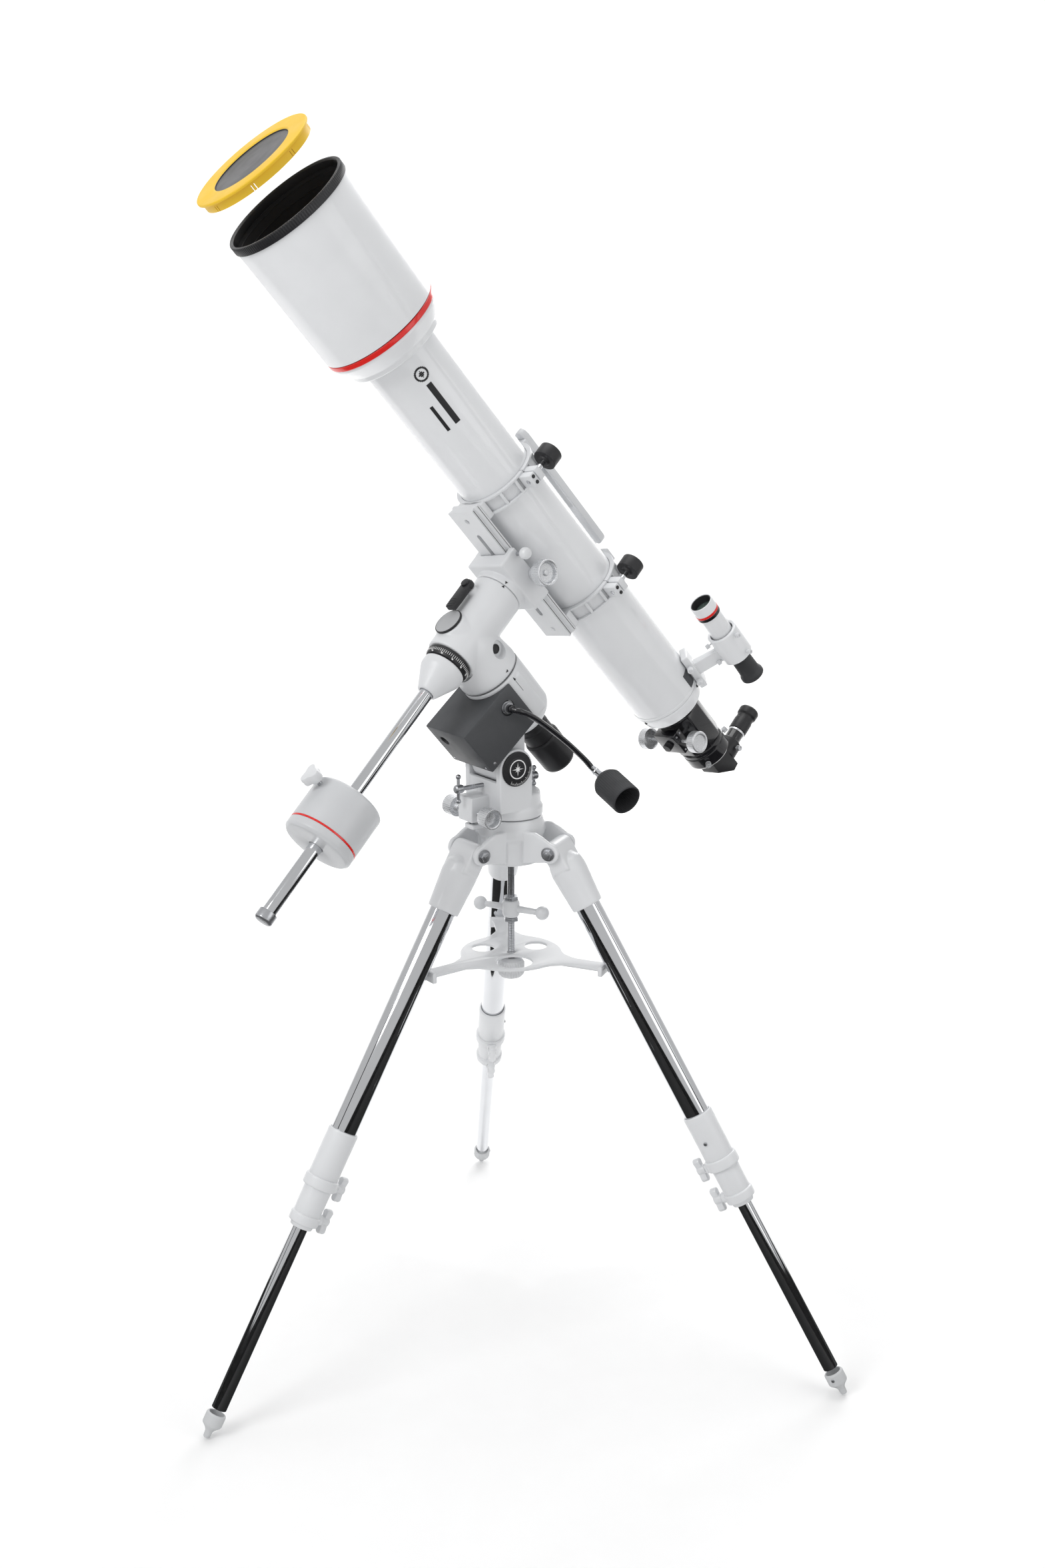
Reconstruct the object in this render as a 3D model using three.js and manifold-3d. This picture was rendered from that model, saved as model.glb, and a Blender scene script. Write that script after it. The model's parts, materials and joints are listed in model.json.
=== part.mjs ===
// Refractor telescope on a German equatorial mount and a three-legged stand.
// Millimetres, +Z up. The origin is on the floor, under the middle of the object's box.

import * as THREE from 'three';
import { mergeVertices } from 'three/addons/utils/BufferGeometryUtils.js';
import Module from 'manifold-3d';

const wasm = await Module();
wasm.setup();

// ---------- Driving dimensions ----------

const GAP = 0.3; // between pieces that touch
const RUN = 0.8; // round a piece that turns inside another

// Stand
const LEG_AZIMUTHS = { north: -143.5, east: -23.5, south: 96.5 }; // degrees round +Z
const PIVOT_RADIUS = 74;
const PIVOT_HEIGHT = 783;
const LEG_SPREAD = 30.5; // degrees from the vertical
const LEG_LENGTH = 909; // pivot to floor, along the leg
const HUB = { radius: 50, bottom: 760, top: 826 };
const UPPER_TUBE = { radius: 19, bore: 17.4, top: -60, bottom: -516 };
const LOWER_TUBE = { radius: 11, top: -440, bottom: -886 };
const CLAMP = { top: -438, step: -520, bottom: -584, radius: 22, neck: 17 };
const TRAY = { height: 612, radius: 76, thickness: 4, reach: 150 };
const ROD = { radius: 5.5, bottom: 598 };
const T_HANDLE = { height: 681, reach: 52, turn: 152.4 };

// Mount
const LATITUDE = 49; // degrees, as set
const FORK_PIVOT = { x: 22, z: 906 }; // in the azimuth frame, x to the north
const AXES_MEET = { x: 81, z: 1091 }; // where the polar and declination axes meet
const HOUR_ANGLE = 8; // degrees past the meridian
const DECLINATION_OFFSET = 2.5; // degrees between tube and polar axis
const POLAR_RADIUS = 46;
const DEC_RADIUS = 37;
const TUBE_OFFSET = 209; // declination axis origin to tube axis
const BAR = { radius: 10, start: -92, end: -478 };
const WEIGHT = { radius: 51, near: -287, far: -369 };

// Telescope tube, measured along its axis from the middle of the rail, +Z to the front
const TUBE = { radius: 56, wall: 1.8, front: 362, rear: -349 };
const DEW = { radius: 87, wall: 2, rear: 393, front: 577 };
const RIM = { radius: 89, rear: 577.3, front: 589, bore: 83.5 };
const LENS_RADIUS = 51;
const FILTER = { back: 652, flange: 3, skirt: 12, radius: 87, window: 58 };
const RING_PLACES = { front: 108, rear: -111 };
const RING = { bore: 56.4, radius: 63, half: 13, hinge: -70, ear: 84 };
const RAIL = { half_length: 126, half_width: 27, top: -68, bottom: -84 };
const FOCUSER = { front: -372.3, rear: -456, radius: 36, pinion: -412, knob: 17 };
const DRAWTUBE = { radius: 27, collar: 36.5, end: -490 };
const DIAGONAL = { start: -490.3, end: -540, axis: -515 };
const EYEPIECE = { radius: 16, start: 29, end: 112 };
const FINDER = { angle: 42, distance: 131, radius: 17, front: -236, rear: -398, bracket: -330 };

// ---------- Materials ----------

const paints = {
  gloss_white: { color: 0xeceef0, roughness: 0.25, metalness: 0.05 },
  satin_white: { color: 0xd9dbdd, roughness: 0.45, metalness: 0.1 },
  leg_white: { color: 0xe2e4e5, roughness: 0.35, metalness: 0.05 },
  anthracite: { color: 0x45474a, roughness: 0.55, metalness: 0.1 },
  black_satin: { color: 0x151617, roughness: 0.4, metalness: 0.1 },
  black_gloss: { color: 0x0b0c0d, roughness: 0.15, metalness: 0.1 },
  chrome: { color: 0xc9ccd0, roughness: 0.08, metalness: 1.0 },
  silver: { color: 0xb9bcc0, roughness: 0.3, metalness: 0.9 },
  rubber: { color: 0x2a2b2d, roughness: 0.85, metalness: 0.0 },
  yellow: { color: 0xe7b90c, roughness: 0.5, metalness: 0.0 },
  glass: { color: 0x8fa6a0, roughness: 0.02, metalness: 0.0 },
};

// ---------- Solids ----------

// A closed geometry as a solid that can be joined and cut.
function solid(geometry) {
  const bare = geometry.index ? geometry.toNonIndexed() : geometry.clone();
  bare.deleteAttribute('normal');
  bare.deleteAttribute('uv');
  const merged = mergeVertices(bare, 1e-4);
  const index = [];
  const source = merged.index.array;
  for (let i = 0; i < source.length; i += 3) {
    const [a, b, c] = [source[i], source[i + 1], source[i + 2]];
    if (a !== b && b !== c && c !== a) index.push(a, b, c);
  }
  if (signedVolume(merged.attributes.position.array, index) < 0) index.reverse();
  const mesh = new wasm.Mesh({
    numProp: 3,
    vertProperties: new Float32Array(merged.attributes.position.array),
    triVerts: new Uint32Array(index),
  });
  return new wasm.Manifold(mesh);
}

function signedVolume(positions, index) {
  const [a, b, c] = [new THREE.Vector3(), new THREE.Vector3(), new THREE.Vector3()];
  let volume = 0;
  for (let i = 0; i < index.length; i += 3) {
    a.fromArray(positions, 3 * index[i]);
    b.fromArray(positions, 3 * index[i + 1]);
    c.fromArray(positions, 3 * index[i + 2]);
    volume += a.dot(b.cross(c));
  }
  return volume;
}

function joined(first, ...others) {
  return others.reduce((sum, other) => sum.add(other), first);
}

function cut(first, ...others) {
  return others.reduce((rest, other) => rest.subtract(other), first);
}

// A cylinder or cone along Z, of radius r0 at z0 and r1 at z1.
function coneShape(r0, r1, z0, z1, sides = 24) {
  const shape = new THREE.CylinderGeometry(r1, r0, z1 - z0, sides);
  return shape.rotateX(Math.PI / 2).translate(0, 0, (z0 + z1) / 2);
}

const rod = (radius, z0, z1, sides = 24) => solid(coneShape(radius, radius, z0, z1, sides));
const cone = (r0, r1, z0, z1, sides = 24) => solid(coneShape(r0, r1, z0, z1, sides));

// The same, along X or Y, through a point of the plane across it.
function rodX(radius, x0, x1, y, z, sides = 16) {
  return solid(coneShape(radius, radius, x0, x1, sides).rotateY(Math.PI / 2).translate(0, y, z));
}

function rodY(radius, y0, y1, x, z, sides = 16) {
  const shape = coneShape(radius, radius, -y1, -y0, sides).rotateX(Math.PI / 2);
  return solid(shape.translate(x, 0, z));
}

function block(x0, x1, y0, y1, z0, z1) {
  const shape = new THREE.BoxGeometry(x1 - x0, y1 - y0, z1 - z0);
  return solid(shape.translate((x0 + x1) / 2, (y0 + y1) / 2, (z0 + z1) / 2));
}

function ball(radius, x, y, z, sides = 12) {
  const shape = new THREE.SphereGeometry(radius, sides, sides / 2);
  return solid(shape.translate(x, y, z));
}

// A profile of [radius, z] points turned round Z.
function turned(profile, sides = 28) {
  const points = profile.map(([r, z]) => new THREE.Vector2(r, z));
  if (profile[0][0] > 0) points.push(points[0].clone());
  return solid(new THREE.LatheGeometry(points, sides).rotateX(Math.PI / 2));
}

// A profile of [radius, y] points turned round Y.
function turnedY(profile, sides = 24) {
  const points = profile.map(([r, y]) => new THREE.Vector2(r, y));
  if (profile[0][0] > 0) points.push(points[0].clone());
  return solid(new THREE.LatheGeometry(points, sides));
}

// An outline of [x, z] points, extruded along Y from y0 to y1.
function slabY(outline, y0, y1) {
  const shape = new THREE.Shape(outline.map(([x, z]) => new THREE.Vector2(x, z)));
  const geometry = new THREE.ExtrudeGeometry(shape, { depth: y1 - y0, bevelEnabled: false });
  return solid(geometry.rotateX(Math.PI / 2).translate(0, y1, 0));
}

// An outline of [x, y] points, extruded along Z.
function slabZ(outline, z0, z1) {
  const shape = new THREE.Shape(outline.map(([x, y]) => new THREE.Vector2(x, y)));
  const geometry = new THREE.ExtrudeGeometry(shape, { depth: z1 - z0, bevelEnabled: false });
  return solid(geometry.translate(0, 0, z0));
}

function arc(cx, cy, radius, from, to, steps) {
  const points = [];
  for (let i = 0; i <= steps; i += 1) {
    const angle = THREE.MathUtils.degToRad(from + ((to - from) * i) / steps);
    points.push([cx + radius * Math.cos(angle), cy + radius * Math.sin(angle)]);
  }
  return points;
}

// ---------- Frames ----------

const radians = THREE.MathUtils.degToRad;
const telescope = new THREE.Group();

function frame(parent, matrix) {
  const group = new THREE.Group();
  group.applyMatrix4(matrix);
  parent.add(group);
  return group;
}

const turnY = (degrees) => new THREE.Matrix4().makeRotationY(radians(degrees));
const turnZ = (degrees) => new THREE.Matrix4().makeRotationZ(radians(degrees));
const shift = (x, y, z) => new THREE.Matrix4().makeTranslation(x, y, z);

// Azimuth: X to the north, Y to the side. Polar: Z up the polar axis, X below it.
const azimuthFrame = frame(telescope, turnZ(LEG_AZIMUTHS.north));
const polarMatrix = shift(AXES_MEET.x, 0, AXES_MEET.z).multiply(turnY(90 - LATITUDE));
const polarFrame = frame(azimuthFrame, polarMatrix);
// Hour: Z up the polar axis, X up the declination axis.
const hourFrame = frame(polarFrame, turnZ(180 + HOUR_ANGLE));
// Declination: Y up the declination axis, Z along the tube.
const tilt = radians(DECLINATION_OFFSET);
const decMatrix = new THREE.Matrix4().makeBasis(
  new THREE.Vector3(0, -Math.cos(tilt), Math.sin(tilt)),
  new THREE.Vector3(1, 0, 0),
  new THREE.Vector3(0, Math.sin(tilt), Math.cos(tilt)),
);
const decFrame = frame(hourFrame, decMatrix);
const tubeFrame = frame(decFrame, shift(0, TUBE_OFFSET, 0));
const finderFrame = frame(tubeFrame, turnZ(FINDER.angle - 90));

const legFrames = {};
for (const [name, azimuth] of Object.entries(LEG_AZIMUTHS)) {
  const place = turnZ(azimuth).multiply(shift(PIVOT_RADIUS, 0, PIVOT_HEIGHT));
  legFrames[name] = frame(telescope, place.multiply(turnY(-LEG_SPREAD)));
}

function add(parent, name, body, paint) {
  const { vertProperties, triVerts, numProp } = body.getMesh();
  const geometry = new THREE.BufferGeometry();
  const positions = new Float32Array((vertProperties.length / numProp) * 3);
  for (let i = 0; i < positions.length / 3; i += 1) {
    positions.set(vertProperties.subarray(i * numProp, i * numProp + 3), i * 3);
  }
  geometry.setAttribute('position', new THREE.BufferAttribute(positions, 3));
  geometry.setIndex(new THREE.BufferAttribute(new Uint32Array(triVerts), 1));
  geometry.computeVertexNormals();
  const mesh = new THREE.Mesh(geometry, new THREE.MeshStandardMaterial(paints[paint]));
  mesh.name = name;
  parent.add(mesh);
}

// ---------- Stand ----------

const LEG_SIDES = 12;
const CLAMP_KNOB = CLAMP.step - 34; // along the leg, on its inner side
const FOOT_REACH = LEG_LENGTH * Math.sin(radians(LEG_SPREAD)); // pivot to foot, outwards
const PEG = { x: 70, radius: 4, top: 846 }; // the azimuth peg on the hub
const EAR = { inner: 28, outer: 36, radius: 15 }; // the hub's ears, either side of a leg

function hub() {
  const { radius, bottom, top } = HUB;
  let body = turned([
    [6.5, top - 12],
    [6.5, top],
    [radius - 4, top],
    [radius, top - 14],
    [radius, bottom],
    [radius - 6, bottom],
    [radius - 6, top - 20],
    [24, top - 20],
    [24, top - 12],
  ]);
  for (const azimuth of Object.values(LEG_AZIMUTHS)) {
    for (const y of [-EAR.outer, EAR.inner]) {
      const outline = [
        [36, bottom + 8],
        [PIVOT_RADIUS - 9, PIVOT_HEIGHT - EAR.radius],
        ...arc(PIVOT_RADIUS, PIVOT_HEIGHT, EAR.radius, -90, 80, 8),
        [PIVOT_RADIUS - 16, top - 14],
        [36, top - 14],
      ];
      body = body.add(slabY(outline, y, y + EAR.outer - EAR.inner).rotate([0, 0, azimuth]));
    }
  }
  const peg = rod(PEG.radius, top - 2, PEG.top, 12).translate([PEG.x, 0, 0]);
  const foot = block(36, PEG.x + 6, -11, 11, top - 10, top - 2);
  return body.add(joined(peg, foot).rotate([0, 0, LEG_AZIMUTHS.north]));
}

function legCasting() {
  const half = EAR.inner - GAP;
  const head = slabY([...arc(0, 0, 14, 0, 180, 10), [-14, -34], [14, -34]], -half, half);
  const neck = cone(UPPER_TUBE.radius + 4, 27, -84, -30, LEG_SIDES);
  const socket = rod(UPPER_TUBE.radius + GAP, -90, UPPER_TUBE.top + GAP, LEG_SIDES);
  return joined(head, neck).subtract(socket);
}

function upperTube() {
  const { radius, bore, top, bottom } = UPPER_TUBE;
  return turned([[bore, bottom], [radius, bottom], [radius, top], [bore, top]], LEG_SIDES);
}

function legClamp() {
  const { top, step, bottom, radius, neck } = CLAMP;
  const body = turned(
    [
      [UPPER_TUBE.radius + GAP, top],
      [radius, top],
      [radius, top - 12],
      [radius + 2, top - 14],
      [radius + 2, step - 4],
      [neck + 3, step - 12],
      [neck, bottom + 26],
      [neck + 2, bottom + 22],
      [neck + 2, bottom],
      [LOWER_TUBE.radius + 0.5, bottom],
      [LOWER_TUBE.radius + 0.5, step + 3],
      [UPPER_TUBE.radius + GAP, step + 3],
    ],
    LEG_SIDES,
  );
  const boss = rodX(9, -27, -14, 0, CLAMP_KNOB, 12);
  const bore = rod(LOWER_TUBE.radius + 0.5, bottom - 1, step + 1, LEG_SIDES);
  return cut(joined(body, boss), bore, rodX(3.4, -30, -10, 0, CLAMP_KNOB, 12));
}

// A clamp knob with two wings on a threaded stud, pointing to the stand's axis.
function wingKnob() {
  const z = CLAMP_KNOB;
  const outline = [];
  for (let i = 0; i < 16; i += 1) {
    const angle = (i / 16) * 2 * Math.PI;
    const reach = 8 + 9 * Math.cos(angle) ** 2;
    outline.push(new THREE.Vector2(reach * Math.cos(angle), 0.8 * reach * Math.sin(angle)));
  }
  const grip = new THREE.ExtrudeGeometry(new THREE.Shape(outline), { depth: 12, bevelEnabled: false });
  grip.rotateY(-Math.PI / 2).translate(-30, 0, z);
  return joined(solid(grip), rodX(7, -31, -27 - GAP, 0, z, 12), rodX(3, -29, -13, 0, z, 12));
}

function lowerLeg() {
  const { radius, top, bottom } = LOWER_TUBE;
  const tube = rod(radius, bottom, top, LEG_SIDES);
  const foot = turned(
    [
      [0, bottom + 22],
      [14, bottom + 22],
      [16, bottom - 2],
      [12, bottom - 8],
      [11, bottom - 60],
      [0, bottom - 60],
    ],
    LEG_SIDES,
  );
  // The foot is cut off level with the floor, seen from the leg's own frame.
  const reach = PIVOT_RADIUS + FOOT_REACH;
  const floor = block(reach - 80, reach + 80, -80, 80, -100, 0);
  const toLeg = turnY(LEG_SPREAD).multiply(shift(-PIVOT_RADIUS, 0, -PIVOT_HEIGHT));
  return joined(tube, foot).subtract(floor.transform(toLeg.elements));
}

const TRAY_HOLES = [
  { radius: 27, azimuth: -83.5, distance: 42 },
  { radius: 17, azimuth: 156.5, distance: 46 },
  { radius: 17, azimuth: 36.5, distance: 46 },
];

function tray() {
  const { height, radius, thickness, reach } = TRAY;
  let plate = rod(radius, height - thickness, height, 32);
  for (const azimuth of Object.values(LEG_AZIMUTHS)) {
    const arm = block(30, reach, -13, 13, height - thickness - 4, height);
    const pad = block(reach - 6, reach, -17, 17, height - 12, height + 4);
    plate = plate.add(joined(arm, pad).rotate([0, 0, azimuth]));
  }
  const through = [height - 20, height + 20];
  for (const hole of TRAY_HOLES) {
    const bore = rod(hole.radius, ...through, 20).translate([hole.distance, 0, 0]);
    plate = plate.subtract(bore.rotate([0, 0, hole.azimuth]));
  }
  return plate.subtract(rod(ROD.radius + 0.7, ...through, 12));
}

function trayKnob() {
  const top = TRAY.height - TRAY.thickness - 4 - GAP;
  const profile = [[0, top - 30], [17, top - 30], [20, top - 26], [20, top - 8], [10, top], [0, top]];
  return turned(profile, 20).subtract(rod(ROD.radius + 0.7, top - 12, top + 5, 12));
}

function centreRod() {
  const { height, reach, turn } = T_HANDLE;
  const shaft = rod(ROD.radius, ROD.bottom, HUB.top - 1, 16);
  const hubs = joined(rod(10, height - 14, height + 13, 12), rod(14, height + 13, height + 17, 16));
  const bar = rodX(5, -reach, reach, 0, height, 12);
  const ends = [-reach, reach].map((x) => ball(10.5, x, 0, height));
  return joined(shaft, hubs, joined(bar, ...ends).rotate([0, 0, turn]));
}

add(telescope, 'tripod_hub', hub(), 'leg_white');
add(telescope, 'clamp_rod', centreRod(), 'chrome');
add(telescope, 'accessory_tray', tray(), 'leg_white');
add(telescope, 'tray_knob', trayKnob(), 'satin_white');
for (const [name, leg] of Object.entries(legFrames)) {
  add(leg, `leg_casting_${name}`, legCasting(), 'leg_white');
  add(leg, `upper_leg_${name}`, upperTube(), 'chrome');
  add(leg, `leg_clamp_${name}`, legClamp(), 'leg_white');
  add(leg, `clamp_knob_${name}`, wingKnob(), 'leg_white');
  add(leg, `lower_leg_${name}`, lowerLeg(), 'chrome');
}

// ---------- Mount ----------

const FORK = { inner: 32.5, outer: 44, half: 28, top: 29, floor: 862, block: 866 };
const AZIMUTH_SCREW = { z: 841, collar: 27, knob: 34, end: 54 };
const BOLT = { z: 878, gap: 0.8 }; // the latitude bolts
const PIN = 6; // radius of the pin the polar housing tilts on
const TONGUE = { half: 8, bottom: 868 };

function forkOutline(lowest) {
  const { x, z } = FORK_PIVOT;
  return [[x + FORK.half, lowest], ...arc(x, z, FORK.top, 0, 180, 12), [x - FORK.half, lowest]];
}

function azimuthBase() {
  const base = HUB.top + GAP;
  const rim = base + 14;
  const collar = turned([[0, base], [47, base], [47, rim], [44, rim + 4], [44, FORK.floor], [0, FORK.floor]]);
  const cheeks = [-1, 1].map((side) => {
    const [y0, y1] = side < 0 ? [-FORK.outer, -FORK.inner] : [FORK.inner, FORK.outer];
    return slabY(forkOutline(base + 14), y0, y1);
  });
  const { x: pivotX, z: pivotZ } = FORK_PIVOT;
  const dials = [-FORK.outer - 2, FORK.outer - 1].map((y) => rodY(25, y, y + 3, pivotX, pivotZ, 24));
  const front = block(42, FORK_PIVOT.x + FORK.half, -33, 33, base + 14, 888);
  const rear = block(FORK_PIVOT.x - FORK.half, 2, -33, 33, base + 14, 888);
  const nose = block(40, 82, -17, 17, base + 2, FORK.block);
  const slot = block(PEG.x - 6, PEG.x + 6, -13, 13, base - 1, PEG.top + 2);
  const screws = rodY(4.2, -30, 30, PEG.x, AZIMUTH_SCREW.z, 12);
  const bolts = rodX(4, -20, 70, 0, BOLT.z, 12);
  const pin = rodY(PIN, -FORK.outer - 4, FORK.outer + 4, FORK_PIVOT.x, FORK_PIVOT.z, 16);
  return cut(joined(collar, ...cheeks, ...dials, front, rear, nose), slot, screws, bolts).add(pin);
}

// An azimuth knob on its screw; side is 1 near and -1 far.
function azimuthScrew(side) {
  const { z, collar, knob, end } = AZIMUTH_SCREW;
  const lengths = [[3.5, PEG.radius + 0.6, knob + 1], [7, collar, knob + 1], [15, knob, end]];
  const sides = (radius) => (radius > 10 ? 24 : 12);
  const screw = joined(...lengths.map(([radius, from, to]) => rodY(radius, from, to, 0, 0, sides(radius))));
  const hollow = rodY(10, end - 12, end + 1, 0, 0, 20);
  return screw.subtract(hollow).scale([1, side, 1]).translate([PEG.x, 0, z]);
}

// A latitude bolt with a cross bar, to the north (1) or the south (-1) of the tongue.
function latitudeBolt(side, length, cross) {
  const { z, gap } = BOLT;
  const start = TONGUE.half + gap;
  const tip = cone(1.2, 3.4, start, start + 3, 12);
  const shaft = rod(3.4, start + 3, start + length, 12);
  const boss = rod(6, start + length - 12, start + length, 12);
  const bar = rodX(2.6, -cross, cross, 0, start + length - 6, 8);
  const ends = [-cross, cross].map((x) => ball(4, x, 0, start + length - 6, 8));
  const bolt = joined(tip, shaft, boss, bar, ...ends);
  return bolt.rotate([0, 90 * side, 0]).translate([FORK_PIVOT.x, 0, z]);
}

add(azimuthFrame, 'azimuth_fork', azimuthBase(), 'satin_white');
add(azimuthFrame, 'azimuth_screw_near', azimuthScrew(1), 'silver');
add(azimuthFrame, 'azimuth_screw_far', azimuthScrew(-1), 'silver');
add(azimuthFrame, 'latitude_bolt_north', latitudeBolt(1, 68, 18), 'chrome');
add(azimuthFrame, 'latitude_bolt_south', latitudeBolt(-1, 61, 12), 'chrome');

// The polar axis housing. In the polar frame its fork pivot is here:
const PIVOT = new THREE.Vector3(FORK_PIVOT.x, 0, FORK_PIVOT.z);
PIVOT.applyMatrix4(polarMatrix.clone().invert());
const HOUSING = { top: -66, rear: -156, end: -168, bore: 20.5, end_radius: 33 };
const GEARS = { inner: 5, outer: 109, half: 48.5, top: -72, bottom: -148, wall: 2.5 };
const WORM = { x: 30, z: -97 };

function polarHousing() {
  const { top, rear, end, bore, end_radius } = HOUSING;
  const body = turned([
    [bore, top],
    [POLAR_RADIUS - 1.5, top],
    [POLAR_RADIUS, top - 1.5],
    [POLAR_RADIUS, rear],
    [end_radius, end],
    [bore, end],
  ]);
  const eye = rodY(26, -FORK.inner + GAP, FORK.inner - GAP, PIVOT.x, PIVOT.z, 24);
  const web = slabY(
    [[26, -120], [43, -120], [43, -149.5], [PIVOT.x, PIVOT.z + 26], [PIVOT.x - 16, PIVOT.z - 20], [26, -152]],
    -FORK.inner + GAP,
    FORK.inner - GAP,
  );
  const reach = FORK_PIVOT.z - TONGUE.bottom;
  const tongue = new THREE.BoxGeometry(2 * TONGUE.half, 30, reach).translate(0, 0, -reach / 2);
  tongue.applyMatrix4(turnY(LATITUDE - 90)).translate(PIVOT.x, 0, PIVOT.z);
  const hole = rodY(PIN + RUN, -40, 40, PIVOT.x, PIVOT.z, 16);
  const worm = rodY(9, 20, 52, WORM.x, WORM.z, 16);
  const whole = joined(cut(joined(eye, web), rod(POLAR_RADIUS - 4, -180, -60)), body);
  return cut(joined(whole, solid(tongue)), hole, rod(bore, -170, -60, 32)).add(worm);
}

// The gear cover: a thin box, open where it meets the housing.
function gearCover() {
  const { inner, outer, half, top, bottom, wall } = GEARS;
  const shell = block(inner, outer, -half, half, bottom, top);
  const hollow = block(inner - 1, outer - wall, -half + wall, half - wall, bottom + wall, top - wall);
  const housing = rod(POLAR_RADIUS + 0.5, -180, -60, 32);
  const web = block(0, 45, -FORK.inner - 0.5, FORK.inner + 0.5, -151, -110);
  const port = rodY(12, 30, 60, WORM.x, WORM.z, 16);
  return cut(shell, hollow, housing, web, port);
}

function polarCap() {
  return turned([
    [0, HOUSING.end - GAP],
    [24, HOUSING.end - GAP],
    [24, -204],
    [27, -207],
    [25.5, -258],
    [23.5, -261],
    [0, -261],
  ]);
}

// The slow-motion shaft, bent in a fixed curve from the worm to its knob, in the azimuth frame.
const SHAFT_RADIUS = 4.6;
const SHAFT_ROUTE = [
  [40, 52.3, 998],
  [40, 62, 998],
  [32, 70, 995],
  [2, 68, 979],
  [-54, 56, 940],
  [-98, 46, 905],
  [-112.5, 50.6, 887.6],
  [-112, 61, 884],
].map((point) => new THREE.Vector3(...point));

function slowMotionShaft() {
  const curve = new THREE.CatmullRomCurve3(SHAFT_ROUTE);
  const circle = arc(0, 0, SHAFT_RADIUS, 0, 324, 9).map(([x, y]) => new THREE.Vector2(x, y));
  const options = { extrudePath: curve, steps: 24, bevelEnabled: false };
  return solid(new THREE.ExtrudeGeometry(new THREE.Shape(circle), options));
}

// The hand knob, a cup open at its far end, with its axis along +Z.
function slowMotionKnob() {
  const profile = [[0, 0.3], [6, 0.3], [6, 20], [21, 26], [23, 30], [23, 78], [20, 78], [19, 42], [0, 42]];
  return turned(profile, 28);
}

const [shaftBend, shaftEnd] = SHAFT_ROUTE.slice(-2);
const alongShaft = new THREE.Vector3().subVectors(shaftEnd, shaftBend).normalize();
const toCable = new THREE.Matrix4().compose(
  shaftEnd,
  new THREE.Quaternion().setFromUnitVectors(new THREE.Vector3(0, 0, 1), alongShaft),
  new THREE.Vector3(1, 1, 1),
);
const cableFrame = frame(azimuthFrame, toCable);

add(polarFrame, 'polar_housing', polarHousing(), 'satin_white');
add(polarFrame, 'gear_cover', gearCover(), 'anthracite');
add(polarFrame, 'polar_scope_cover', polarCap(), 'anthracite');
add(azimuthFrame, 'slow_motion_shaft', slowMotionShaft(), 'black_gloss');
add(cableFrame, 'slow_motion_knob', slowMotionKnob(), 'rubber');

// The declination housing, in the hour frame: X up the declination axis, Z up the polar axis.
const HEAD = { seam: 89.7, low: -36, bore: 15.5, skirt: -65.7, cap: 40 };
const LEVER = { x: 60, z: 45 };

function decHousing() {
  const barrel = rodX(DEC_RADIUS, HEAD.low, HEAD.seam, 0, 0, 28);
  const skirt = turned([
    [0, HEAD.skirt],
    [POLAR_RADIUS - 1.5, HEAD.skirt],
    [POLAR_RADIUS, HEAD.skirt + 2],
    [POLAR_RADIUS - 3, -40],
    [POLAR_RADIUS - 6, -8],
    [30, 22],
    [23, HEAD.cap - 4],
    [23, HEAD.cap],
    [0, HEAD.cap],
  ]);
  const shaft = rod(HOUSING.bore - RUN, -150, HEAD.skirt + 1);
  const boss = rod(8, 20, LEVER.z - 1, 14).translate([LEVER.x, 0, 0]);
  const bore = rodX(HEAD.bore, HEAD.low - 20, HEAD.seam + 5, 0, 0, 24);
  const seat = rodX(DEC_RADIUS, HEAD.low - 20, HEAD.low, 0, 0, 28);
  return cut(joined(barrel, skirt, shaft, boss), bore, seat);
}

// The declination lock lever turns on its boss; its arm lies along the housing.
function lockLever() {
  const { x } = LEVER;
  const outline = [...arc(x, 0, 8, -90, 90, 8), [x - 44, 7], [x - 44, -7]];
  return joined(slabZ(outline, LEVER.z - 1 + GAP, LEVER.z + 9), ball(9, x, 0, LEVER.z + 9));
}

add(hourFrame, 'dec_housing', decHousing(), 'satin_white');
add(hourFrame, 'dec_lock_lever', lockLever(), 'black_satin');

// The declination shaft and all that turns with it, in the declination frame.
const SADDLE = { bottom: HEAD.seam + GAP, plate: 104, top: 124.6, half_width: 38, half_length: 45 };
const SADDLE_KNOB = { y: 134, z: -4, radius: 19 };

function saddle() {
  const { bottom, plate, top, half_width, half_length } = SADDLE;
  const turnedUp = rodY(DEC_RADIUS, bottom, plate, 0, 0, 28);
  const shaft = rodY(HEAD.bore - RUN, HEAD.low - 13.4, bottom + 1, 0, 0, 24);
  const plateBody = block(-half_width, half_width, plate - 1, top, -half_length, half_length);
  const jaws = [-1, 1].map((side) => {
    const [x0, x1] = side < 0 ? [-half_width, -RAIL.half_width - GAP] : [RAIL.half_width + GAP, half_width];
    return block(x0, x1, top - 1, top + 13, -half_length, half_length);
  });
  const knobHole = rodX(4.4, 20, 60, SADDLE_KNOB.y, SADDLE_KNOB.z, 12);
  const safety = joined(rodX(3, half_width - 1, 52, SADDLE_KNOB.y, 35, 10), ball(8, 56, SADDLE_KNOB.y, 35));
  return joined(turnedUp, shaft, plateBody, ...jaws).subtract(knobHole).add(safety);
}

function saddleKnob() {
  const { y, z, radius } = SADDLE_KNOB;
  const start = SADDLE.half_width + GAP;
  const grip = rodX(radius, 56, 72, y, z, 32);
  const hollow = rodX(radius - 5, 62, 75, y, z, 24);
  const boss = rodX(9, start, 60, y, z, 16);
  const screw = rodX(4, RAIL.half_width + 1, 60, y, z, 12);
  return joined(grip.subtract(hollow), boss, screw);
}

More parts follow.
